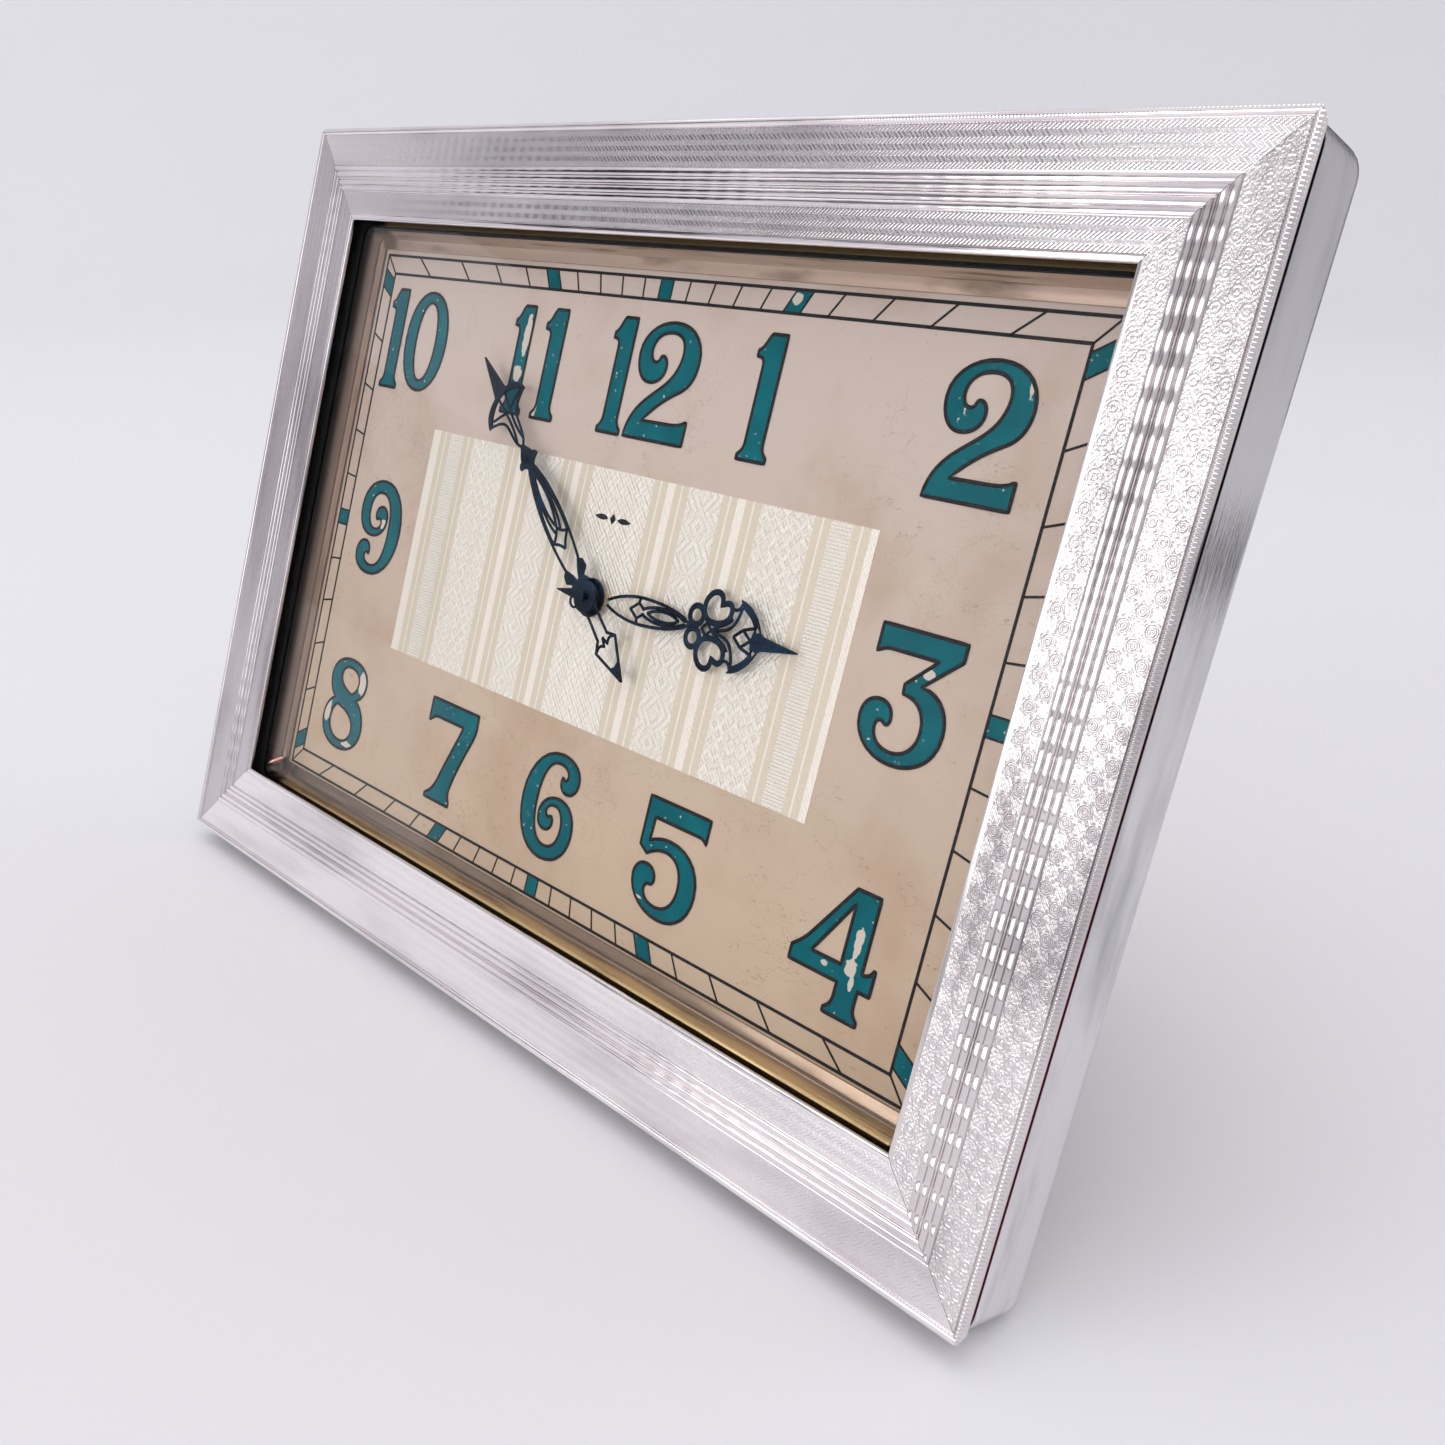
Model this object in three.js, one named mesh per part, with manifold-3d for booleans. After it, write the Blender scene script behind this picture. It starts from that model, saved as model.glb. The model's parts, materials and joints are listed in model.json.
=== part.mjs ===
// Silver-framed eight-day strut clock. It leans back on a folding easel strut.
//
// Everything on the clock is drawn in its upright frame: x to the right, y from the front face
// to the back, z up, with the origin in the middle of the front face. The clock group then leans
// back by LEAN, and the whole object is moved so that its origin is under its bounding box.
// All lengths are millimetres and all angles are degrees.

import * as THREE from 'three';
import { mergeVertices } from 'three/addons/utils/BufferGeometryUtils.js';
import Module from 'manifold-3d';

const wasm = await Module();
wasm.setup();

// ---------------------------------------------------------------- driving dimensions

const FACE_WIDTH = 160;
const FACE_HEIGHT = 112.8;
const RAIL_WIDTH = 13.8;
const CORNER_RADIUS = 3.2;
const LEAN = 19.5;
const CLEARANCE = 0.3;
const HALF_WIDTH = FACE_WIDTH / 2;
const HALF_HEIGHT = FACE_HEIGHT / 2;

// Depths behind the front face, from front to back.
const RAIL_BACK = 0.45;
const LINING = { front: 0.6, back: 0.85 };
const RIM = { front: 1.0, back: 10.6, wall: 1.2, edge: 2.4, flange: 1.0 };
const GLASS = { front: 1.0, back: 2.1 };
const DIAL = { front: 5.24, back: 5.74 };
const FRONT_PLATE = { front: 8.8, back: 10.3 };
const BACK_BOARD = { front: 10.9, back: 12.5 };
const REAR_PLATE = { front: 18.5, back: 20.0 };
const COVER = { front: 12.8, flange: 13.8, inside: 25.3, back: 26.5 };

// The dial and the movement sit a little off the middle of the frame.
const DIAL_CENTRE = { x: 0.27, z: -0.45 };
const BEZEL_FOOT = { halfWidth: 64.4, halfHeight: 40.6 };
const PLATE_RADIUS = 21.5;
const COVER_RADIUS = 24;

const STRUT_ANGLE = 37;
const HINGE = { y: 15.4, z: 38 };

// ---------------------------------------------------------------- materials

function finish(color, metalness, roughness, extra = {}) {
  return new THREE.MeshStandardMaterial({ color, metalness, roughness, ...extra });
}

const SILVER = finish(0xdcdce0, 1, 0.25);
const CHROME = finish(0xc9ccd2, 1, 0.12);
const PANE = finish(0xeef4f4, 0, 0.03, { transparent: true, opacity: 0.2 });
const GILT = finish(0xa98f68, 1, 0.4);
const CREAM = finish(0xd8c6b0, 0, 0.7);
const BLUED = finish(0x1b2c3f, 0.8, 0.35);
const BRASS = finish(0xc9a452, 1, 0.35);
const STEEL = finish(0xb3b5b8, 1, 0.3);
const LEATHER = finish(0x4d1820, 0, 0.7);
const CARD = finish(0x0b0b0c, 0, 0.9);
const COPPER = finish(0xc68b72, 1, 0.4);

// ---------------------------------------------------------------- solids and booleans

const radians = THREE.MathUtils.degToRad;

// Keeps positions only, joins equal corners, drops empty triangles and turns the faces outwards.
function closed(geometry) {
  const bare = geometry.clone();
  bare.deleteAttribute('normal');
  bare.deleteAttribute('uv');
  const merged = mergeVertices(bare, 1e-4);
  const { array } = merged.attributes.position;
  const corners = [...merged.index.array];
  const kept = [];
  let volume = 0;
  for (let i = 0; i < corners.length; i += 3) {
    const [a, b, c] = corners.slice(i, i + 3);
    if (a === b || b === c || a === c) continue;
    kept.push([a, b, c]);
    const [p, q, r] = [a, b, c].map((k) => new THREE.Vector3().fromArray(array, 3 * k));
    volume += p.dot(q.cross(r));
  }
  merged.setIndex(kept.flatMap(([a, b, c]) => (volume > 0 ? [a, b, c] : [a, c, b])));
  return merged;
}

function toManifold(geometry) {
  const shape = closed(geometry);
  const vertProperties = Float32Array.from(shape.attributes.position.array);
  const triVerts = Uint32Array.from(shape.index.array);
  return new wasm.Manifold(new wasm.Mesh({ numProp: 3, vertProperties, triVerts }));
}

function toGeometry(manifold) {
  const { vertProperties, triVerts } = manifold.getMesh();
  const geometry = new THREE.BufferGeometry();
  geometry.setAttribute('position', new THREE.BufferAttribute(Float32Array.from(vertProperties), 3));
  geometry.setIndex([...triVerts]);
  return geometry;
}

function join(first, ...others) {
  return toGeometry(others.reduce((sum, part) => sum.add(toManifold(part)), toManifold(first)));
}

function cut(body, ...tools) {
  return toGeometry(tools.reduce((rest, tool) => rest.subtract(toManifold(tool)), toManifold(body)));
}

function common(first, second) {
  return toGeometry(toManifold(first).intersect(toManifold(second)));
}

// ---------------------------------------------------------------- basic shapes

// A box between two corners.
function block(x0, x1, y0, y1, z0, z1) {
  const geometry = new THREE.BoxGeometry(x1 - x0, y1 - y0, z1 - z0);
  return geometry.translate((x0 + x1) / 2, (y0 + y1) / 2, (z0 + z1) / 2);
}

// A round bar along y.
function rod(radius, y0, y1, sides = 12, at = { x: 0, z: 0 }) {
  const geometry = new THREE.CylinderGeometry(radius, radius, y1 - y0, sides);
  return geometry.translate(at.x, (y0 + y1) / 2, at.z);
}

// A round bar along x.
function bar(radius, x0, x1, y, z, sides = 16) {
  const geometry = new THREE.CylinderGeometry(radius, radius, x1 - x0, sides);
  return geometry.rotateZ(Math.PI / 2).translate((x0 + x1) / 2, y, z);
}

// A solid of revolution about y, from [radius, y] points.
function turned(points, sides = 24, at = { x: 0, z: 0 }) {
  const profile = points.map(([radius, y]) => new THREE.Vector2(radius, y));
  return new THREE.LatheGeometry(profile, sides).translate(at.x, 0, at.z);
}

// A flat outline in x and z, made solid from y0 to y1.
function sheet(shape, y0, y1, curveSegments = 6) {
  const geometry = new THREE.ExtrudeGeometry(shape, {
    depth: y1 - y0, bevelEnabled: false, curveSegments,
  });
  return geometry.rotateX(Math.PI / 2).translate(0, y1, 0);
}

function roundedRectangle(halfWidth, halfHeight, radius) {
  const shape = new THREE.Shape();
  const x = halfWidth - radius;
  const z = halfHeight - radius;
  shape.absarc(x, z, radius, 0, Math.PI / 2);
  shape.absarc(-x, z, radius, Math.PI / 2, Math.PI);
  shape.absarc(-x, -z, radius, Math.PI, 1.5 * Math.PI);
  shape.absarc(x, -z, radius, 1.5 * Math.PI, 2 * Math.PI);
  shape.closePath();
  return shape;
}

function rectangle(halfWidth, halfHeight, Type = THREE.Shape) {
  const shape = new Type();
  shape.moveTo(-halfWidth, -halfHeight);
  shape.lineTo(halfWidth, -halfHeight);
  shape.lineTo(halfWidth, halfHeight);
  shape.lineTo(-halfWidth, halfHeight);
  shape.closePath();
  return shape;
}

// A flat rectangular ring, from its outer and inner half sizes.
function flatRing(outer, inner, y0, y1, radius) {
  const shape = roundedRectangle(outer[0], outer[1], radius);
  shape.holes.push(rectangle(inner[0], inner[1], THREE.Path));
  return sheet(shape, y0, y1, 3);
}

// A mitred rectangular ring swept from a closed profile of [outset, y] points. It is a four-sided
// turning whose corners are moved out to the rectangle.
function mitredRing(profile, halfWidth, halfHeight, centre) {
  const loop = [...profile, profile[0]];
  const base = 10;
  const geometry = turned(loop.map(([outset, y]) => [base + outset, y]), 4).rotateY(Math.PI / 4);
  const position = geometry.attributes.position;
  for (let i = 0; i < position.count; i += 1) {
    const x = position.getX(i);
    const z = position.getZ(i);
    const outset = Math.hypot(x, z) - base;
    position.setX(i, centre.x + Math.sign(x) * (halfWidth + outset));
    position.setZ(i, centre.z + Math.sign(z) * (halfHeight + outset));
  }
  return geometry;
}

// ---------------------------------------------------------------- scene graph

const object = new THREE.Group();
const clock = new THREE.Group();
clock.rotation.x = -radians(LEAN);
object.add(clock);

const movement = new THREE.Group();
movement.position.set(DIAL_CENTRE.x, 0, DIAL_CENTRE.z);
clock.add(movement);

function add(parent, name, geometry, material) {
  const mesh = new THREE.Mesh(closed(geometry), material);
  mesh.name = name;
  parent.add(mesh);
  return mesh;
}

function polar(distance, degrees, from = { x: 0, z: 0 }) {
  return {
    x: from.x + distance * Math.cos(radians(degrees)),
    z: from.z + distance * Math.sin(radians(degrees)),
  };
}

// ---------------------------------------------------------------- engine-turned face frame

// A bead across the rail, from one edge to the other, as points of a shallow arch.
function bead(from, to, foot, crown, steps = 4) {
  return Array.from({ length: steps + 1 }, (_, i) => {
    const turn = (Math.PI * i) / steps;
    return [from + ((to - from) * (1 - Math.cos(turn))) / 2, foot - (foot - crown) * Math.sin(turn)];
  });
}

// The rail's section: [distance in from the outer edge, depth], front side then back side.
function railSection() {
  return [
    ...bead(0, 1.25, 0.05, -0.42, 5),
    [1.35, -0.12], [6.0, -0.16],
    ...bead(6.2, 6.9, 0.02, -0.3),
    ...bead(7.1, 8.6, 0.02, -0.42),
    ...bead(8.8, 9.5, 0.02, -0.3),
    [9.7, -0.16], [12.7, -0.12],
    [13.3, -0.05], [RAIL_WIDTH, 0.15],
    [RAIL_WIDTH, RAIL_BACK], [0, RAIL_BACK],
  ];
}

// A straight rail along the foot of a frame whose foot is at z = -reach, mitred at both ends.
function mitredRail(length, reach) {
  const outline = new THREE.Shape(railSection().map(([across, y]) => new THREE.Vector2(across, y)));
  const geometry = new THREE.ExtrudeGeometry(outline, { depth: 1, bevelEnabled: false });
  const position = geometry.attributes.position;
  const mitreGap = 0.12;
  for (let i = 0; i < position.count; i += 1) {
    const across = position.getX(i);
    const side = position.getZ(i) > 0.5 ? -1 : 1;
    position.setX(i, side * (length / 2 - across - mitreGap));
    position.setZ(i, across - reach);
  }
  return geometry;
}

function addFaceFrame() {
  const corners = sheet(roundedRectangle(HALF_WIDTH, HALF_HEIGHT, CORNER_RADIUS), -2, 2, 5);
  const rails = [
    ['frame_bottom_rail', FACE_WIDTH, HALF_HEIGHT, 0],
    ['frame_right_rail', FACE_HEIGHT, HALF_WIDTH, -90],
    ['frame_top_rail', FACE_WIDTH, HALF_HEIGHT, 180],
    ['frame_left_rail', FACE_HEIGHT, HALF_WIDTH, 90],
  ];
  for (const [name, length, reach, turn] of rails) {
    const rail = mitredRail(length, reach).rotateY(radians(turn));
    add(clock, name, common(rail, corners), SILVER);
  }
}

// ---------------------------------------------------------------- case

function addCase() {
  const outer = [HALF_WIDTH - 0.15, HALF_HEIGHT - 0.15];
  add(clock, 'face_lining',
    flatRing(outer, [HALF_WIDTH - 10, HALF_HEIGHT - 10], LINING.front, LINING.back, CORNER_RADIUS),
    LEATHER);

  const { edge, wall, flange } = RIM;
  const body = new THREE.ExtrudeGeometry(
    roundedRectangle(HALF_WIDTH - edge, HALF_HEIGHT - edge, CORNER_RADIUS - edge),
    {
      depth: RIM.back, bevelThickness: edge, bevelSize: edge, bevelSegments: 3, curveSegments: 3,
    },
  ).rotateX(Math.PI / 2).translate(0, RIM.back - edge, 0);
  const inside = [HALF_WIDTH - wall, HALF_HEIGHT - wall];
  const rim = cut(body,
    block(-HALF_WIDTH, HALF_WIDTH, -2 * RIM.back, RIM.front, -HALF_HEIGHT, HALF_HEIGHT),
    block(-inside[0], inside[0], RIM.front + flange, RIM.back - flange, -inside[1], inside[1]),
    block(5 - inside[0], inside[0] - 5, 0, 20, 5 - inside[1], inside[1] - 5));
  add(clock, 'case_rim', rim, CHROME);

  add(clock, 'glass',
    block(-73, 73, GLASS.front, GLASS.back, -49.4, 49.4), PANE);
  add(clock, 'glass_gasket', mitredRing(
    [[2.35, 2.4], [6.2, 2.4], [6.2, 4.9], [2.35, 4.9]],
    BEZEL_FOOT.halfWidth, BEZEL_FOOT.halfHeight, DIAL_CENTRE), CARD);
}

// The gilt reveal between the glass and the dial, a bent strip with mitred corners.
function addBezel() {
  const profile = [
    [0, 5.1], [0, 4.8], [1.1, 4.55], [1.2, 4.2], [2.0, 2.4], [2.2, 2.4], [2.2, 2.9], [1.5, 4.6],
    [1.5, 5.1],
  ];
  add(clock, 'inner_bezel',
    mitredRing(profile, BEZEL_FOOT.halfWidth, BEZEL_FOOT.halfHeight, DIAL_CENTRE), GILT);
  add(clock, 'bezel_tab', block(-71.2, -66.9, 5.0, 5.15, -29.6, -28.2)
    .translate(0, 0.05, 0), COPPER);
}

function addDial() {
  const plate = sheet(rectangle(66.8, 43), DIAL.front, DIAL.back);
  const feet = [-1, 1].map((side) => rod(0.8, DIAL.front + 0.1, FRONT_PLATE.back, 10, { x: side * 17, z: 0 }));
  const dial = cut(join(plate, ...feet), rod(2.3, 0, DIAL.back + 0.2, 16));
  add(movement, 'dial_plate', dial, CREAM);
}

function screw(headRadius, headHeight, shankRadius, y0, y1, at) {
  const body = join(rod(shankRadius, y0, y1 - headHeight / 2, 6, at),
    rod(headRadius, y1 - headHeight, y1, 10, at));
  const slot = block(-headRadius - 1, headRadius + 1, y1 - headHeight / 2, y1 + 1, -0.25, 0.25);
  return cut(body, slot.translate(at.x, 0, at.z));
}

function addBack() {
  const spots = [[-1, -1], [1, -1], [1, 1], [-1, 1]].map(([x, z]) => (
    { x: x * (HALF_WIDTH - 7), z: z * (HALF_HEIGHT - 7) }));
  const outline = roundedRectangle(HALF_WIDTH - 3.5, HALF_HEIGHT - 3.5, 3);
  const board = cut(sheet(outline, BACK_BOARD.front, BACK_BOARD.back, 4),
    rod(PLATE_RADIUS + 1, 0, 20, 32, DIAL_CENTRE),
    ...spots.map((at) => rod(1.3, 0, 20, 10, at)));
  add(clock, 'back_board', board, LEATHER);
  spots.forEach((at, i) => {
    const body = screw(2.4, 1.0, 1.0, RIM.back + 0.25, BACK_BOARD.back + 1.3, at);
    add(clock, `back_screw_${i + 1}`, body, CHROME);
  });
}

// ---------------------------------------------------------------- folding strut

const hinge = {
  pinRadius: 1.2,
  boreRadius: 1.45,
  knuckleRadius: 2.5,
  bracketKnuckle: 9.6,
  strutKnuckle: [10, 16],
};

const STRUT = { thickness: 2, topHalf: 33, footHalf: 36, innerHalf: 27.8, top: 7, foot: 10 };

function addHingeBracket() {
  const { y, z } = HINGE;
  const spots = [-1, 1].map((side) => ({ x: side * 10, z: z + 8 }));
  const plate = block(-15, 15, BACK_BOARD.back + CLEARANCE, BACK_BOARD.back + 1.5, z + 4, z + 12.5);
  const arm = block(-hinge.bracketKnuckle, hinge.bracketKnuckle,
    BACK_BOARD.back + CLEARANCE, BACK_BOARD.back + 1.5, z - 1, z + 5);
  const knuckle = bar(hinge.knuckleRadius, -hinge.bracketKnuckle, hinge.bracketKnuckle, y, z);
  const bracket = cut(join(plate, arm, knuckle),
    bar(hinge.pinRadius + 0.1, -20, 20, y, z, 12),
    ...spots.map((at) => rod(1.2, 0, 20, 10, at)));
  add(clock, 'hinge_bracket', bracket, CHROME);
  spots.forEach((at, i) => {
    const body = screw(2.1, 0.9, 0.9, BACK_BOARD.back + 0.15, BACK_BOARD.back + 2.6, at);
    add(clock, `hinge_screw_${i + 1}`, body, CHROME);
  });
  add(clock, 'hinge_pin', bar(hinge.pinRadius, -16.8, 16.8, y, z, 12), STEEL);
}

// The easel leg hangs from the hinge: its own origin is on the hinge's axis, and it reaches down
// by -z before the strut group is swung out. Its foot is cut level with the ground.
function strutLeg(reach) {
  const { thickness, topHalf, footHalf, innerHalf, top, foot } = STRUT;
  const outline = new THREE.Shape();
  const end = reach + 10;
  const footHere = footHalf + (footHalf - topHalf) * 0.1;
  outline.moveTo(-footHere, -end);
  outline.lineTo(footHere, -end);
  outline.lineTo(topHalf, -6.2);
  outline.quadraticCurveTo(topHalf, -3.2, topHalf - 3, -3.2);
  outline.lineTo(-topHalf + 3, -3.2);
  outline.quadraticCurveTo(-topHalf, -3.2, -topHalf, -6.2);
  const window = new THREE.Path();
  const low = -(reach - foot);
  const high = -3.2 - top;
  const round = 6;
  window.moveTo(-innerHalf, high - round);
  window.quadraticCurveTo(-innerHalf, high, -innerHalf + round, high);
  window.lineTo(innerHalf - round, high);
  window.quadraticCurveTo(innerHalf, high, innerHalf, high - round);
  window.lineTo(innerHalf, low + round);
  window.quadraticCurveTo(innerHalf, low, innerHalf - round, low);
  window.lineTo(-innerHalf + round, low);
  window.quadraticCurveTo(-innerHalf, low, -innerHalf, low + round);
  outline.holes.push(window);
  const panel = sheet(outline, -thickness / 2, thickness / 2, 3);

  const [inner, outer] = hinge.strutKnuckle;
  const knuckles = [-1, 1].flatMap((side) => {
    const [x0, x1] = side < 0 ? [-outer, -inner] : [inner, outer];
    return [
      bar(hinge.knuckleRadius, x0, x1, 0, 0),
      block(x0, x1, -thickness / 2, thickness / 2, -5, 0),
    ];
  });
  return cut(join(panel, ...knuckles), bar(hinge.boreRadius, -20, 20, 0, 0, 12));
}

// Height of the leaning clock's lowest point, with nothing but the case standing.
function restingHeight() {
  object.updateMatrixWorld(true);
  return new THREE.Box3().setFromObject(clock, true).min.z;
}

function addStrut() {
  const ground = restingHeight();
  const pivot = new THREE.Vector3(0, HINGE.y, HINGE.z).applyEuler(clock.rotation);
  const fromVertical = STRUT_ANGLE - LEAN;
  const reach = (pivot.z - ground) / Math.cos(radians(fromVertical));

  const swing = radians(fromVertical);
  const half = STRUT.footHalf + 10;
  const below = block(-half, half, -40, 40, -60, 0)
    .translate(0, 0, ground - pivot.z)
    .rotateX(-swing);
  const strut = new THREE.Group();
  strut.position.copy(pivot);
  strut.rotation.x = swing;
  object.add(strut);
  add(strut, 'strut_leg', cut(strutLeg(reach), below), LEATHER);
}

// ---------------------------------------------------------------- gears

// A toothed outline with vee-shaped gaps. Narrow tips leave the mesh some backlash.
function gearOutline(teeth, module, phase = 0) {
  const pitchRadius = (module * teeth) / 2;
  const root = pitchRadius - 1.2 * module;
  const tip = pitchRadius + 0.7 * module;
  const corners = [[tip, -0.04], [tip, 0.04], [root, 0.5]];
  const points = [];
  for (let tooth = 0; tooth < teeth; tooth += 1) {
    for (const [radius, offset] of corners) {
      const at = polar(radius, phase + ((tooth + offset) * 360) / teeth);
      points.push(new THREE.Vector2(at.x, at.z));
    }
  }
  return new THREE.Shape(points);
}

// Saw teeth for the ratchet and the escape wheel.
function sawOutline(teeth, tip, root, phase = 0) {
  const points = [];
  for (let tooth = 0; tooth < teeth; tooth += 1) {
    for (const [radius, offset] of [[tip, 0], [tip - 0.05, 0.1], [root, 0.55]]) {
      const at = polar(radius, phase + ((tooth + offset) * 360) / teeth);
      points.push(new THREE.Vector2(at.x, at.z));
    }
  }
  return new THREE.Shape(points);
}

// The angle a second gear needs, so that its gap meets the first gear's tooth on the line of
// centres. direction is the angle from the first gear's centre to the second's.
function meshPhase(teethA, phaseA, direction, teethB) {
  return direction + 180 - ((phaseA - direction) * teethA - 180) / teethB;
}

function gear({ teeth, module, y0, y1, phase = 0 }) {
  return sheet(gearOutline(teeth, module, phase), y0, y1);
}

function distance(module, teethA, teethB) {
  return (module * (teethA + teethB)) / 2;
}

// ---------------------------------------------------------------- movement layout

const MODULE = { barrel: 0.28, intermediate: 0.24, centre: 0.2, third: 0.18, fourth: 0.16 };
const TEETH = {
  barrel: 60, intermediatePinion: 10, intermediate: 50, centrePinion: 10,
  centre: 60, thirdPinion: 8, third: 56, fourthPinion: 7, fourth: 60, escapePinion: 6,
  cannon: 12, minute: 36, minutePinion: 10, hour: 40,
};
const BEARING = { intermediate: 155, third: 60, fourth: -50, escape: -75, minute: -30 };

const MOTION_CENTRES = 7.2;

const spot = {};
spot.centre = { x: 0, z: 0 };
spot.barrel = { x: -9.17, z: -6.42 };
spot.intermediate = polar(
  distance(MODULE.intermediate, TEETH.intermediate, TEETH.centrePinion), BEARING.intermediate);
spot.third = polar(distance(MODULE.centre, TEETH.centre, TEETH.thirdPinion), BEARING.third);
spot.fourth = polar(
  distance(MODULE.third, TEETH.third, TEETH.fourthPinion), BEARING.fourth, spot.third);
spot.escape = polar(
  distance(MODULE.fourth, TEETH.fourth, TEETH.escapePinion), BEARING.escape, spot.fourth);
spot.pallets = polar(4.3, -120, spot.escape);
spot.balance = polar(4.3, -120, spot.pallets);
spot.minute = polar(MOTION_CENTRES, BEARING.minute);

const ARBOR = 0.35;
const FINE = 8;
const PIVOT_HOLE = 0.5;
const PIVOTS = { front: FRONT_PLATE.front + 0.4, rear: REAR_PLATE.back - 0.4 };
const PILLARS = [95, 160, 270, 350];
const PILLAR_CIRCLE = 19.2;

// A wheel, its pinion and its arbor, riveted into one piece.
function wheelAndPinion(at, wheel, pinion) {
  const pieces = [gear(wheel), gear(pinion), rod(ARBOR, PIVOTS.front, PIVOTS.rear, FINE)];
  return join(...pieces).translate(at.x, 0, at.z);
}

function addPlates() {
  const arbors = ['intermediate', 'third', 'fourth', 'escape', 'pallets', 'balance'];
  const pivotHoles = arbors.map((name) => rod(PIVOT_HOLE, 0, 30, FINE, spot[name]));
  const shared = [
    ...pivotHoles,
    rod(0.8, 0, 30, 12),
    rod(1.6, 0, 30, 14, spot.barrel),
  ];
  const feetHoles = [-1, 1].map((side) => rod(1.1, 0, 30, 12, { x: side * 17, z: 0 }));
  const front = rod(PLATE_RADIUS, FRONT_PLATE.front, FRONT_PLATE.back, 32);
  const stud = rod(0.5, 6.3, FRONT_PLATE.front + 0.5, 10, spot.minute);
  add(movement, 'front_plate', join(cut(front, ...shared, ...feetHoles), stud), BRASS);
  add(movement, 'rear_plate',
    cut(rod(PLATE_RADIUS, REAR_PLATE.front, REAR_PLATE.back, 32), ...shared), BRASS);
  PILLARS.forEach((degrees, i) => {
    const at = polar(PILLAR_CIRCLE, degrees);
    const pillar = turned([
      [0, FRONT_PLATE.back + 0.05], [1.5, FRONT_PLATE.back + 0.05], [1.5, 11.2], [1.1, 11.6],
      [1.1, 17.2], [1.5, 17.6], [1.5, REAR_PLATE.front - 0.05], [0, REAR_PLATE.front - 0.05],
    ], 10, at);
    add(movement, `pillar_${i + 1}`, pillar, BRASS);
  });
}

// ---------------------------------------------------------------- going train

function addBarrel() {
  const drumRadius = 7.9;
  const teeth = gear({ teeth: TEETH.barrel, module: MODULE.barrel, y0: 13, y1: 14 });
  const drum = join(teeth, rod(drumRadius, 13.4, 18, 24));
  const hollow = join(rod(7.2, 13.9, 19, 24), rod(1.6, 0, 19, 12));
  add(movement, 'barrel', cut(drum, hollow).translate(spot.barrel.x, 0, spot.barrel.z), BRASS);

  const arbor = join(rod(1.3, FRONT_PLATE.front + 0.3, 26.9, 12), rod(2.2, 14.3, 17.5, 16));
  add(movement, 'barrel_arbor', arbor.translate(spot.barrel.x, 0, spot.barrel.z), STEEL);
  add(movement, 'mainspring', spiralStrip(2.7, 6.8, 4, 0.28, 14.4, 17.4, 12)
    .translate(spot.barrel.x, 0, spot.barrel.z), STEEL);
}

// A flat coiled strip, from its first to its last radius.
function spiralStrip(first, last, turns, thickness, y0, y1, stepsPerTurn) {
  const steps = turns * stepsPerTurn;
  const edge = (shift) => Array.from({ length: steps + 1 }, (_, i) => {
    const at = polar(first + ((last - first) * i) / steps + shift, (360 * i) / stepsPerTurn);
    return new THREE.Vector2(at.x, at.z);
  });
  return sheet(new THREE.Shape([...edge(thickness / 2), ...edge(-thickness / 2).reverse()]), y0, y1);
}

function addTrain() {
  // Each wheel stands with a tooth on its own zero, and each pinion is turned to suit its driver.
  const intermediatePhase = 0;
  const barrelDirection = THREE.MathUtils.radToDeg(
    Math.atan2(spot.intermediate.z - spot.barrel.z, spot.intermediate.x - spot.barrel.x));
  add(movement, 'intermediate_wheel', wheelAndPinion(spot.intermediate,
    {
      teeth: TEETH.intermediate, module: MODULE.intermediate, y0: 11.8, y1: 12.4,
      phase: intermediatePhase,
    },
    {
      teeth: TEETH.intermediatePinion, module: MODULE.barrel, y0: 12.3, y1: 14.2,
      phase: meshPhase(TEETH.barrel, 0, barrelDirection, TEETH.intermediatePinion),
    }), BRASS);

  // The centre wheel turns on the minute arbor, and drives it by friction.
  const centrePinionPhase = meshPhase(
    TEETH.intermediate, intermediatePhase, BEARING.intermediate + 180, TEETH.centrePinion);
  const centre = join(
    gear({ teeth: TEETH.centre, module: MODULE.centre, y0: 10.8, y1: 11.4 }),
    gear({
      teeth: TEETH.centrePinion, module: MODULE.intermediate, y0: 11.3, y1: 12.6,
      phase: centrePinionPhase,
    }));
  add(movement, 'centre_wheel', cut(centre, rod(0.6, 0, 20, 12)), BRASS);

  add(movement, 'third_wheel', wheelAndPinion(spot.third,
    { teeth: TEETH.third, module: MODULE.third, y0: 14.4, y1: 15 },
    {
      teeth: TEETH.thirdPinion, module: MODULE.centre, y0: 10.6, y1: 11.6,
      phase: meshPhase(TEETH.centre, 0, BEARING.third, TEETH.thirdPinion),
    }), BRASS);

  add(movement, 'fourth_wheel', wheelAndPinion(spot.fourth,
    { teeth: TEETH.fourth, module: MODULE.fourth, y0: 16.4, y1: 16.9 },
    {
      teeth: TEETH.fourthPinion, module: MODULE.third, y0: 14.2, y1: 15.2,
      phase: meshPhase(TEETH.third, 0, BEARING.fourth, TEETH.fourthPinion),
    }), BRASS);

  const escapePinion = gear({
    teeth: TEETH.escapePinion, module: MODULE.fourth, y0: 16.2, y1: 17.1,
    phase: meshPhase(TEETH.fourth, 0, BEARING.escape, TEETH.escapePinion),
  });
  const escape = join(sheet(sawOutline(15, 2.9, 2.2), 12.6, 13.1), escapePinion,
    rod(0.3, PIVOTS.front, PIVOTS.rear, 10));
  add(movement, 'escape_wheel', escape.translate(spot.escape.x, 0, spot.escape.z), STEEL);
}

// ---------------------------------------------------------------- escapement and regulator

const BALANCE = { rim: 5.8, rimFront: 20.7, rimBack: 21.5, spring: 22.0, cock: 22.8, cockBack: 24 };

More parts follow.
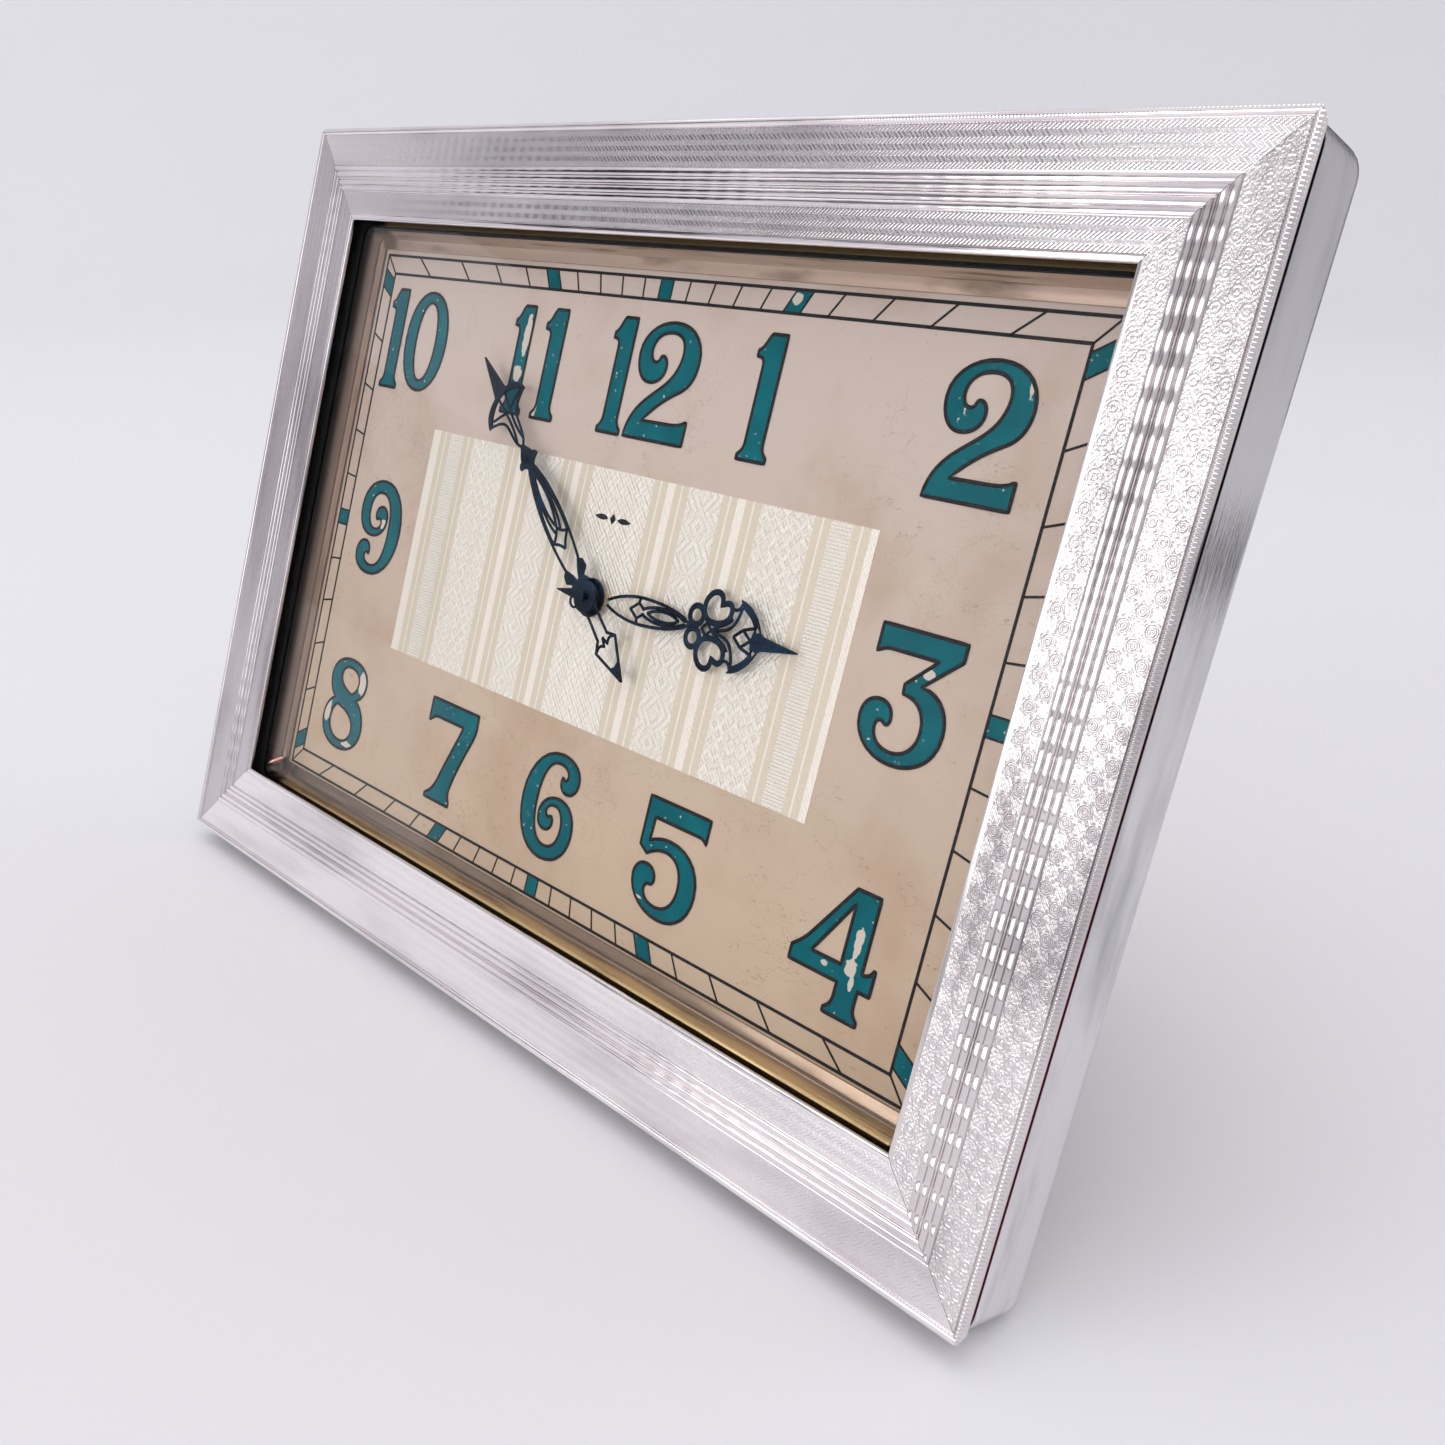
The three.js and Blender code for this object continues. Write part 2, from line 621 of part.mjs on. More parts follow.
// The anchor's arms reach beside the escape wheel, just clear of its teeth.
function addPallets() {
  const shape = new THREE.Shape();
  shape.moveTo(-0.9, 0.3);
  shape.lineTo(-2.5, 1.5);
  shape.lineTo(-2.8, 2.7);
  shape.lineTo(-3.2, 2.6);
  shape.lineTo(-3.1, 1.2);
  shape.lineTo(-0.6, -0.7);
  shape.lineTo(-0.25, -2.9);
  shape.lineTo(0.25, -2.9);
  shape.lineTo(0.6, -0.7);
  shape.lineTo(3.1, 1.2);
  shape.lineTo(3.2, 2.6);
  shape.lineTo(2.8, 2.7);
  shape.lineTo(2.5, 1.5);
  shape.lineTo(0.9, 0.3);
  shape.closePath();
  const fork = join(sheet(shape, 12.6, 13.1), rod(0.3, PIVOTS.front, PIVOTS.rear, 10));
  add(movement, 'pallet_fork',
    fork.rotateY(radians(30)).translate(spot.pallets.x, 0, spot.pallets.z), STEEL);
}

function addBalance() {
  const at = spot.balance;
  const rimShape = new THREE.Shape().absarc(0, 0, BALANCE.rim, 0, 2 * Math.PI);
  rimShape.holes.push(new THREE.Path().absarc(0, 0, BALANCE.rim - 0.9, 0, 2 * Math.PI));
  const wheel = join(
    sheet(rimShape, BALANCE.rimFront, BALANCE.rimBack, 12),
    block(-5.3, 5.3, BALANCE.rimFront + 0.1, BALANCE.rimBack - 0.1, -0.5, 0.5),
    rod(0.3, PIVOTS.front, BALANCE.cock + 0.6, 10),
    rod(1.0, 12.4, 13.3, 12),
    rod(0.7, BALANCE.rimFront - 0.2, BALANCE.rimBack + 0.4, 12));
  add(movement, 'balance_wheel', wheel.translate(at.x, 0, at.z), BRASS);

  const spring = spiralStrip(1, 3.2, 3, 0.12, BALANCE.spring, BALANCE.spring + 0.3, 12);
  add(movement, 'hairspring', spring.translate(at.x, 0, at.z), BLUED);

  const footAt = { x: 8.4, z: 0 };
  const arm = new THREE.Shape();
  arm.absarc(0, 0, 1.8, Math.PI / 2, 1.5 * Math.PI);
  arm.absarc(footAt.x, 0, 2.3, -Math.PI / 2, Math.PI / 2);
  arm.closePath();
  const cock = cut(
    join(sheet(arm, BALANCE.cock, BALANCE.cockBack, 6),
      rod(2.3, REAR_PLATE.back + 0.15, BALANCE.cock + 0.1, 14, footAt),
      rod(1.0, BALANCE.cock, BALANCE.cockBack + 0.6, 14)),
    rod(0.45, 0, BALANCE.cock + 0.8, 10),
    rod(0.9, 0, 30, 10, footAt));
  add(movement, 'balance_cock', cock.translate(at.x, 0, at.z), BRASS);
  add(movement, 'cock_screw',
    screw(1.5, 0.7, 0.6, REAR_PLATE.back + 0.3, BALANCE.cockBack + 0.9,
      { x: at.x + footAt.x, z: at.z }), STEEL);
}

// The index turns on the cock's boss, and its tail shows through the slot in the cover.
const INDEX = { front: BALANCE.cockBack + 0.2, back: BALANCE.cockBack + 0.7, tail: 7.2, swing: 20 };

function addRegulator() {
  const tail = INDEX.tail;
  const outline = new THREE.Shape();
  outline.absarc(0, 0, 1.9, radians(-70), radians(250));
  outline.lineTo(-0.45, -tail - 0.4);
  outline.lineTo(0.45, -tail - 0.4);
  outline.closePath();
  outline.holes.push(new THREE.Path().absarc(0, 0, 1.25, 0, 2 * Math.PI));
  const lever = join(sheet(outline, INDEX.front, INDEX.back, 6),
    block(-0.35, 0.35, INDEX.front, COVER.back + 1.2, -tail - 0.4, -tail + 0.4));
  add(movement, 'regulator_index', lever.translate(spot.balance.x, 0, spot.balance.z), STEEL);
}

// ---------------------------------------------------------------- winding work

const RATCHET = { teeth: 30, tip: 5, root: 4.4, y0: 20.3, y1: 21.3 };

function addWinding() {
  const at = spot.barrel;
  const wheel = cut(sheet(sawOutline(RATCHET.teeth, RATCHET.tip, RATCHET.root), RATCHET.y0, RATCHET.y1),
    rod(1.35, 0, 30, 12));
  add(movement, 'ratchet_wheel', wheel.translate(at.x, 0, at.z), STEEL);

  // The click's beak rests just off the tips, and lifts away from the wheel.
  const pivot = polar(7.4, 110, at);
  const click = new THREE.Shape();
  click.absarc(0, 0, 1.2, radians(40), radians(300));
  click.lineTo(3.1, -1.55);
  click.lineTo(3.3, -1.2);
  click.closePath();
  const pawl = cut(sheet(click, RATCHET.y0, RATCHET.y1, 6), rod(0.75, 0, 30, 10));
  add(movement, 'click', pawl.rotateY(radians(-5)).translate(pivot.x, 0, pivot.z), STEEL);
  add(movement, 'click_screw',
    screw(1.2, 0.6, 0.5, REAR_PLATE.back + 0.15, RATCHET.y1 + 0.8, pivot), STEEL);
}

const KEY = { front: COVER.back + 0.4, back: 31, radius: 2.6, pinDepth: 29.6, length: 11, direction: 215 };

// Everything on the key is drawn with its folded bow along +x, then turned to KEY.direction.
function addKey() {
  const at = spot.barrel;
  const turn = radians(-KEY.direction);
  const placed = (geometry) => geometry.rotateY(turn).translate(at.x, 0, at.z);

  const hub = cut(turned([
    [0, KEY.front], [KEY.radius, KEY.front], [KEY.radius, KEY.back - 0.5],
    [KEY.radius - 0.5, KEY.back], [0, KEY.back],
  ], 20), rod(1.4, 0, KEY.front + 0.1, 12));
  const crossHole = new THREE.CylinderGeometry(0.65, 0.65, 14, 10)
    .rotateX(Math.PI / 2).translate(0, KEY.pinDepth, 0);
  add(movement, 'key_hub', placed(cut(hub, crossHole)), BRASS);

  const outline = new THREE.Shape();
  const bow = new THREE.Path();
  const widest = 5.2;
  const narrow = 3.1;
  outline.moveTo(-1.3, -widest);
  outline.lineTo(KEY.length - widest, -widest);
  outline.absarc(KEY.length - widest, 0, widest, -Math.PI / 2, Math.PI / 2);
  outline.lineTo(-1.3, widest);
  outline.lineTo(-1.3, narrow);
  outline.lineTo(4, narrow);
  outline.lineTo(4, -narrow);
  outline.lineTo(-1.3, -narrow);
  outline.closePath();
  bow.absarc(KEY.length - widest + 1.2, 0, 2, 0, 2 * Math.PI);
  outline.holes.push(bow);
  const ring = cut(sheet(outline, KEY.pinDepth - 0.7, KEY.pinDepth + 0.7, 7), crossHole);
  add(movement, 'key_bow', placed(ring), BRASS);
  const pin = new THREE.CylinderGeometry(0.5, 0.5, 10.4, 10)
    .rotateX(Math.PI / 2).translate(0, KEY.pinDepth, 0);
  add(movement, 'key_pin', placed(pin), STEEL);
}

// ---------------------------------------------------------------- movement cover

function addCover() {
  const { front, flange, inside, back } = COVER;
  const shell = turned([
    [0, inside], [COVER_RADIUS - 2, inside], [COVER_RADIUS - 1.2, inside - 0.8],
    [COVER_RADIUS - 1.2, front], [26.8, front], [26.8, flange], [COVER_RADIUS, flange],
    [COVER_RADIUS, back - 1.6], [COVER_RADIUS - 0.5, back - 0.5], [COVER_RADIUS - 1.6, back], [0, back],
  ], 36);
  const spots = [60, 180, 300].map((degrees) => polar(25.4, degrees));
  const slot = new THREE.Shape();
  const reach = INDEX.swing + 8;
  slot.absarc(0, 0, INDEX.tail + 0.9, radians(270 - reach), radians(270 + reach));
  slot.absarc(0, 0, INDEX.tail - 0.9, radians(270 + reach), radians(270 - reach), true);
  slot.closePath();
  const slotCut = sheet(slot, inside - 2, back + 2, 8).translate(spot.balance.x, 0, spot.balance.z);
  const cover = cut(shell, slotCut,
    rod(0.9, inside - 2, back + 2, 12),
    rod(1.8, inside - 2, back + 2, 14, spot.barrel),
    ...spots.map((at) => rod(0.95, 0, 20, 10, at)));
  add(movement, 'movement_cover', cover, BRASS);
  spots.forEach((at, i) => {
    add(movement, `cover_screw_${i + 1}`,
      screw(1.3, 0.8, 0.7, BACK_BOARD.back + 0.1, flange + 1.0, at), STEEL);
  });
}

// ---------------------------------------------------------------- motion work and hands

const MOTION = { hourGear: [6.2, 7.1], minuteGear: [7.4, 8.3] };
const MODULE_MINUTE = (2 * MOTION_CENTRES) / (TEETH.cannon + TEETH.minute);
const MODULE_HOUR = (2 * MOTION_CENTRES) / (TEETH.minutePinion + TEETH.hour);

function addMotionWork() {
  const arbor = join(rod(0.45, 2.75, 27.7, 10), rod(0.62, 2.55, 3.05, 10));
  add(movement, 'minute_arbor', arbor, STEEL);

  const cannon = join(
    rod(0.95, 3.6, 8.35, 14),
    gear({
      teeth: TEETH.cannon, module: MODULE_MINUTE, y0: MOTION.minuteGear[0], y1: MOTION.minuteGear[1],
    }));
  add(movement, 'cannon_pinion', cut(cannon, rod(0.6, 0, 20, 12)), STEEL);

  const direction = BEARING.minute;
  const minute = join(
    gear({
      teeth: TEETH.minute, module: MODULE_MINUTE, y0: MOTION.minuteGear[0], y1: MOTION.minuteGear[1],
      phase: meshPhase(TEETH.cannon, 0, direction, TEETH.minute),
    }),
    gear({
      teeth: TEETH.minutePinion, module: MODULE_HOUR, y0: MOTION.hourGear[0], y1: 7.5,
    }));
  const hub = rod(0.65, 0, 20, 10);
  add(movement, 'minute_wheel', cut(minute, hub).translate(spot.minute.x, 0, spot.minute.z), BRASS);

  const hour = join(
    gear({
      teeth: TEETH.hour, module: MODULE_HOUR, y0: MOTION.hourGear[0], y1: MOTION.hourGear[1],
      phase: meshPhase(TEETH.minutePinion, 0, direction + 180, TEETH.hour),
    }),
    rod(1.7, 4.1, MOTION.hourGear[1], 16));
  add(movement, 'hour_wheel', cut(hour, rod(1.2, 0, 20, 14)), BRASS);
}

// An outline that is the same above and below its middle line, from one side's points.
function mirrored(points) {
  const below = points.map(([along, across]) => new THREE.Vector2(along, -across));
  const above = [...points].reverse().map(([along, across]) => new THREE.Vector2(along, across));
  return new THREE.Shape([...below, ...above]);
}

// A pointed oval opening.
function almond(from, to, halfWidth, across = 0) {
  const path = new THREE.Path();
  const middle = (from + to) / 2;
  path.moveTo(from, across);
  path.quadraticCurveTo(middle, across + 2 * halfWidth, to, across);
  path.quadraticCurveTo(middle, across - 2 * halfWidth, from, across);
  return path;
}

function roundHole(along, across, radius) {
  return new THREE.Path().absarc(along, across, radius, 0, 2 * Math.PI);
}

// Both hands are drawn pointing along +x, with the hub on the origin.
function minuteHand() {
  const shape = mirrored([
    [-13, 0.1], [-7.4, 2], [-6.4, 1], [-2.4, 1], [-1.7, 1.9], [1.6, 1.9], [2.5, 1.4], [3.8, 2.1],
    [5.3, 1.2], [9, 1.75], [13, 2], [17, 1.8], [21.6, 0.7], [22.6, 1.9], [23.6, 1.1], [25.3, 0.4],
    [26.4, 1.2], [29.6, 1.4], [31.2, 2.8], [32.1, 4.3], [33.6, 3.4], [34.3, 1.4], [41.4, 0.12],
  ]);
  shape.holes.push(
    roundHole(0, 0, 1.1), almond(-11, -7, 0.8), almond(-6.4, -2.8, 0.45), almond(5.2, 9.6, 0.85),
    almond(10.2, 21.2, 1.25), almond(26.2, 31, 0.75), roundHole(32.6, 1.9, 0.6),
    roundHole(32.6, -1.9, 0.6));
  return shape;
}

function hourHand() {
  const shape = mirrored([
    [-6.6, 0.1], [-4.2, 0.8], [-3, 1.7], [-1.8, 2.4], [1.8, 2.4], [3, 1.2], [4.4, 0.7], [7, 1.4],
    [11, 1.75], [15, 1.3], [17.4, 0.7], [17.9, 2], [19.2, 2.6], [19.8, 3.8], [21.4, 4.6], [23.2, 4.2],
    [24.9, 3], [25.9, 4.15], [28, 3.3], [29.4, 1.9], [29.9, 0.8], [35.6, 0.12],
  ]);
  const pair = (along, across, radius) => [
    roundHole(along, across, radius), roundHole(along, -across, radius)];
  shape.holes.push(
    roundHole(0, 0, 1.95), almond(4.6, 8.4, 0.5), almond(9.2, 16.8, 0.8), ...pair(19.2, 1.35, 0.85),
    ...pair(22, 2.6, 1.3), ...pair(25, 1.1, 0.6), ...pair(27.4, 1.9, 0.6), almond(25.8, 28.2, 0.5));
  return shape;
}

// Where each hand points, in hours and in minutes past the hour.
const READING = { hour: 2.94, minute: 51.8 };

function addHands() {
  const minuteAngle = 90 - 6 * READING.minute;
  const hourAngle = 90 - 30 * READING.hour;
  const point = (geometry, degrees) => geometry.rotateY(-radians(degrees));
  add(movement, 'hour_hand', point(sheet(hourHand(), 4.15, 4.4, 4), hourAngle), BLUED);
  add(movement, 'minute_hand', point(sheet(minuteHand(), 3.3, 3.55, 4), minuteAngle), BLUED);
  const knob = turned([
    [0, 26.9], [4.4, 26.9], [4.6, 27.1], [4.6, 28.1], [4.4, 28.3], [0, 28.3],
  ], 24);
  add(movement, 'setting_knob', cut(knob, rod(0.55, 0, 27.9, 10)), BRASS);
}

// ---------------------------------------------------------------- assembly

addFaceFrame();
addCase();
addBezel();
addDial();
addBack();
addHingeBracket();
addPlates();
addBarrel();
addTrain();
addPallets();
addBalance();
addRegulator();
addWinding();
addKey();
addCover();
addMotionWork();
addHands();
addStrut();

// Stand the object on z = 0, with x and y centred on its bounding box.
object.updateMatrixWorld(true);
const bounds = new THREE.Box3().setFromObject(object, true);
const middle = bounds.getCenter(new THREE.Vector3());
const stand = new THREE.Group();
stand.add(object);
object.position.set(-middle.x, -middle.y, -bounds.min.z);

export default stand;
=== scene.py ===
import json
import math

import bmesh
import bpy
from mathutils import Matrix, Vector


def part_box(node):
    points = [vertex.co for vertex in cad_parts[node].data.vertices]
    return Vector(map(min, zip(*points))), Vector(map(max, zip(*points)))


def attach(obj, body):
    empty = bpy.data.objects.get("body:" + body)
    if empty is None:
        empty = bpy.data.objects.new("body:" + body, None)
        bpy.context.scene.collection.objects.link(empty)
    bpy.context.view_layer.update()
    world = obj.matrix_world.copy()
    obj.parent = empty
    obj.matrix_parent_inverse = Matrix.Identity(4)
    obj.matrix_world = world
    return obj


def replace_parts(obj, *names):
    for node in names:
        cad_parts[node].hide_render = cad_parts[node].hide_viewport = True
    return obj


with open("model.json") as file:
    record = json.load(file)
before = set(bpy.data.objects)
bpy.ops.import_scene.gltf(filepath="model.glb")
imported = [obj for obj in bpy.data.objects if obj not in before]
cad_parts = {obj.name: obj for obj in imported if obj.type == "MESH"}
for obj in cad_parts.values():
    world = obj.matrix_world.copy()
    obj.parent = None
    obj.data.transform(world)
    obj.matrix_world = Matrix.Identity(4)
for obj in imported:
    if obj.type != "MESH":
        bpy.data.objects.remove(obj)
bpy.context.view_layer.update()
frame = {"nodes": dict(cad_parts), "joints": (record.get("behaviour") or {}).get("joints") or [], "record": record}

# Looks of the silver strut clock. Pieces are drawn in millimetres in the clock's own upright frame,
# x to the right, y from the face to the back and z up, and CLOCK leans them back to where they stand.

MM = 0.001
JOINTS = {joint["name"]: joint for joint in frame["joints"]}
MOUNTS = {mount["name"]: mount for mount in frame["record"]["mounts"]}


def placed(origin, right, back):
    """The matrix that puts a drawing in millimetres where it belongs in the row frame."""
    up = right.cross(back)
    axes = Matrix((right, back, up)).transposed().to_4x4()
    return Matrix.Translation(origin) @ axes @ Matrix.Scale(MM, 4)


RIGHT = Vector((1, 0, 0))
BACK = Vector(JOINTS["hand_setting"]["axis"])
GLASS_MIDDLE = 1.55
glass_low, glass_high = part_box("glass")
CLOCK = placed((glass_low + glass_high) / 2 - BACK * GLASS_MIDDLE * MM, RIGHT, BACK)

PIVOT = Vector(JOINTS["strut_fold"]["pos_m"])
FOOT = Vector(MOUNTS["strut_foot"]["pos_m"])
STRUT_DOWN = (FOOT - PIVOT).normalized()
STRUT = placed(PIVOT, RIGHT, RIGHT.cross(STRUT_DOWN))
STRUT_REACH = (FOOT - PIVOT).length / MM

HALF_WIDTH = 80
HALF_HEIGHT = 56.4
RAIL_WIDTH = 13.3
RAIL_CORNER = 1.2
RIM_CORNER = 3.2
DIAL = {"x": 0.27, "z": -0.45, "front": 5.24}
MIDDLE = (DIAL["x"], DIAL["z"])
BARREL = (DIAL["x"] - 9.17, DIAL["z"] - 6.42)
BALANCE = (DIAL["x"] + 4.111, DIAL["z"] - 11.002)


def srgb(red, green, blue):
    """A colour as it looks, 0 to 255, as the linear colour that shaders take."""
    return (*[((c / 255 + 0.055) / 1.055) ** 2.4 for c in (red, green, blue)], 1)


def polar(centre, radius, degrees):
    """The point at a distance and an angle from a centre, on the plane of the dial."""
    turn = math.radians(degrees)
    return centre[0] + radius * math.cos(turn), centre[1] + radius * math.sin(turn)


def linked(name, data):
    """A new object in the scene."""
    obj = bpy.data.objects.new(name, data)
    bpy.context.scene.collection.objects.link(obj)
    return obj


# ---------------------------------------------------------------- shader nodes


class Number:
    """A number that shader nodes work out, written with ordinary arithmetic."""

    def __init__(self, paint, socket):
        self.paint = paint
        self.socket = socket

    def __add__(self, other):
        return self.paint.math("ADD", self, other)

    def __sub__(self, other):
        return self.paint.math("SUBTRACT", self, other)

    def __rsub__(self, other):
        return self.paint.math("SUBTRACT", other, self)

    def __mul__(self, other):
        return self.paint.math("MULTIPLY", self, other)

    __radd__ = __add__
    __rmul__ = __mul__

    def absolute(self):
        return self.paint.math("ABSOLUTE", self)

    def above(self, edge):
        return self.paint.math("GREATER_THAN", self, edge)

    def below(self, edge):
        return self.paint.math("LESS_THAN", self, edge)

    def between(self, low, high):
        return self.above(low) * self.below(high)

    def wave(self, length, shift=0.0):
        """From -1 to 1, once in each length."""
        return self.paint.math("SINE", (self + shift) * (2 * math.pi / length))

    def folded(self, length):
        """The distance to the nearest multiple of length."""
        return self.paint.math("PINGPONG", self, length / 2)

    def eased(self, low, high):
        """0 at low and 1 at high, with a smooth step between."""
        node = self.paint.node("ShaderNodeMapRange")
        node.interpolation_type = "SMOOTHSTEP"
        node.inputs["From Min"].default_value = low
        node.inputs["From Max"].default_value = high
        self.paint.feed(node.inputs["Value"], self)
        return Number(self.paint, node.outputs["Result"])


class Paint:
    """One material. Its patterns are in millimetres of the clock's upright frame."""

    def __init__(self, name, **sockets):
        self.material = bpy.data.materials.new(name)
        self.material.use_nodes = True
        self.tree = self.material.node_tree
        self.shader = self.tree.nodes["Principled BSDF"]
        for socket, value in sockets.items():
            self.shader.inputs[socket.replace("_", " ")].default_value = value
        place = self.node("ShaderNodeMapping")
        place.vector_type = "TEXTURE"
        place.inputs["Location"].default_value = CLOCK.translation
        place.inputs["Rotation"].default_value = CLOCK.to_euler()
        place.inputs["Scale"].default_value = (MM, MM, MM)
        self.feed(place.inputs["Vector"], self.node("ShaderNodeTexCoord").outputs["Object"])
        self.at = place.outputs["Vector"]

    def node(self, kind):
        return self.tree.nodes.new(kind)

    def feed(self, socket, value):
        """Links or sets a socket. A tuple is a colour from 0 to 255."""
        if isinstance(value, Number):
            value = value.socket
        if isinstance(value, tuple):
            value = srgb(*value)
        if isinstance(value, bpy.types.NodeSocket):
            self.tree.links.new(value, socket)
        else:
            socket.default_value = value

    def math(self, operation, *values):
        node = self.node("ShaderNodeMath")
        node.operation = operation
        for socket, value in zip(node.inputs, values):
            self.feed(socket, value)
        return Number(self, node.outputs["Value"])

    def xyz(self):
        node = self.node("ShaderNodeSeparateXYZ")
        self.feed(node.inputs["Vector"], self.at)
        return [Number(self, node.outputs[axis]) for axis in "XYZ"]

    def stretched(self, scale, location=(0, 0, 0)):
        """The place measured from location, in steps of scale along each axis."""
        node = self.node("ShaderNodeMapping")
        node.vector_type = "TEXTURE"
        node.inputs["Location"].default_value = location
        node.inputs["Scale"].default_value = scale
        self.feed(node.inputs["Vector"], self.at)
        return node.outputs["Vector"]

    def noise(self, size, detail=2.0, roughness=0.5):
        """Soft noise from 0 to 1, whose blotches are about size millimetres along each axis."""
        scale = size if isinstance(size, tuple) else (size, size, size)
        node = self.node("ShaderNodeTexNoise")
        node.inputs["Scale"].default_value = 1.0
        node.inputs["Detail"].default_value = detail
        node.inputs["Roughness"].default_value = roughness
        self.feed(node.inputs["Vector"], self.stretched(scale))
        return Number(self, node.outputs["Fac"])

    def cells(self, size):
        """Distance to the nearest of a scatter of points about size millimetres apart."""
        node = self.node("ShaderNodeTexVoronoi")
        node.inputs["Scale"].default_value = 1.0
        self.feed(node.inputs["Vector"], self.stretched((size, size, size)))
        return Number(self, node.outputs["Distance"])

    def mix(self, share, first, second):
        node = self.node("ShaderNodeMix")
        node.data_type = "RGBA"
        self.feed(node.inputs["Factor"], share)
        self.feed(node.inputs["A"], first)
        self.feed(node.inputs["B"], second)
        return node.outputs["Result"]

    def colour(self, value):
        self.feed(self.shader.inputs["Base Color"], value)

    def roughness(self, value):
        self.feed(self.shader.inputs["Roughness"], value)

    def relief(self, height):
        """Raises the surface by height millimetres."""
        node = self.node("ShaderNodeBump")
        node.inputs["Distance"].default_value = MM
        self.feed(node.inputs["Height"], height)
        self.feed(self.shader.inputs["Normal"], node.outputs["Normal"])


# ---------------------------------------------------------------- metals

# Across a rail, from its outer edge: a bead, the wide band, flat ribs, the narrow band and a lip.
BEAD = (0.0, 1.0)
WIDE_BAND = (1.1, 5.5)
RIBS = ((5.6, 6.42), (6.5, 7.3), (7.36, 7.6), (7.66, 8.46), (8.54, 9.3))
NARROW_BAND = (9.4, 12.55)
ROSETTE = {"radius": 0.95, "edge": 0.22, "petals": 8, "petal": 0.13, "height": 0.026}
RINGS = {"pitch": 0.42, "height": 0.018}
ROSETTE_PITCH = 3.05
ROSETTE_COLUMNS = ((11.6, 0.0), (10.25, 0.5), (4.75, 0.0), (3.25, 0.5), (1.85, 0.0))


def rosettes(along, across):
    """Rosettes in columns, each a small raised flower of eight petals with rings on it."""
    height = 0.0
    covered = 0.0
    for column, shift in ROSETTE_COLUMNS:
        offset = (along + shift * ROSETTE_PITCH).folded(ROSETTE_PITCH)
        side = across - column
        distance = offset.paint.math("SQRT", offset * offset + side * side)
        angle = offset.paint.math("ARCTAN2", side, offset)
        reach = distance - angle.wave(2 * math.pi / ROSETTE["petals"]) * ROSETTE["petal"]
        flower = reach.eased(ROSETTE["radius"], ROSETTE["radius"] - ROSETTE["edge"])
        rings = distance.wave(RINGS["pitch"]) * flower
        covered = covered + flower
        height = height + flower * ROSETTE["height"] + rings * RINGS["height"]
    return height, covered


def engine_turned(name, along_x, deep, base_with_painted_light, tarnish_and_painted_shade):
    """Silver rail: two engine-turned bands, ripples over the ribs, fine scratches and soft tarnish, on base and
    tarnish colours given per rail with painted light and shade in them.

    The rosettes are worn away where deep is 0. Where deep is 1 they are crisp, but less so at the top."""
    paint = Paint(name, Metallic=1.0)
    x, _, z = paint.xyz()
    if along_x:
        along, across = x, HALF_HEIGHT - z.absolute()
    else:
        along, across = z, HALF_WIDTH - x.absolute()
    bands = across.between(*NARROW_BAND) + across.between(*WIDE_BAND)
    flowers, covered = rosettes(along, across)
    zigzag = (along + across.folded(1.2) * 1.1).wave(0.52)
    hatch = (along * 0.8 - across).wave(0.24)
    bead = across.between(*BEAD)
    ribbed = across.between(RIBS[0][0], RIBS[-1][1])
    ripple = along.wave(ROSETTE_PITCH) * (ribbed + bead * 0.5)
    milled = along.wave(0.42) * bead
    scratch = paint.noise((9, 9, 0.25) if along_x else (0.25, 9, 9), 3)
    grain = paint.noise(0.3, 3) * bands
    crisp = (0.4 + along.eased(45, -15) * 0.6) * deep
    turning = bands * (1 - covered * deep) * (zigzag * 0.005 + hatch * 0.003)
    beading = ripple * (0.004 + crisp * 0.07) + milled * (0.004 + 0.02 * deep)
    wear = scratch * 0.012 + grain * (0.008 + 0.06 * deep)
    paint.relief(flowers * bands * crisp * 1.5 + turning + beading + wear)
    tarnish = paint.noise((30, 30, 7) if along_x else (7, 30, 30), 3).eased(0.42, 0.75)
    # Painted light and shade: the base and tarnish colours are lighter or darker for each rail, as light falls on
    # it.
    paint.colour(paint.mix(tarnish, base_with_painted_light, tarnish_and_painted_shade))
    polish = 0.06 if along_x else 0.12
    paint.roughness(polish + paint.noise(5, 3) * 0.1 + bands * 0.06)
    return paint.material


def polished_plate():
    """Bright rim plate, rubbed across its length, with a painted reflection that makes it a little darker higher
    up.
    """
    paint = Paint("rim_plate", Metallic=1.0)
    rubbed = paint.noise((7, 0.3, 16), 4)
    fine = paint.noise((2.5, 0.08, 7), 3)
    smears = paint.noise((14, 5, 22), 3).eased(0.42, 0.75)
    _, _, z = paint.xyz()
    paint.relief(rubbed * 0.05 + fine * 0.012)
    # Painted reflection: the plate's colour darkens higher up.
    base_with_painted_light = paint.mix(z.eased(-50, 50), (238, 236, 238), (196, 193, 195))
    paint.colour(paint.mix(smears * 0.8, base_with_painted_light, (160, 160, 166)))
    paint.roughness(0.08 + rubbed * 0.14 + smears * 0.1)
    return paint.material


def brass():
    paint = Paint("lacquered_brass", Metallic=1.0)
    grain = paint.noise((0.12, 2, 6), 3)
    stain = paint.noise(7, 4).eased(0.45, 0.8)
    paint.relief(grain * 0.01 + paint.noise(1.2, 3) * 0.01)
    paint.colour(paint.mix(stain, (222, 184, 112), (158, 116, 60)))
    paint.roughness(0.22 + grain * 0.14 + stain * 0.15)
    return paint.material


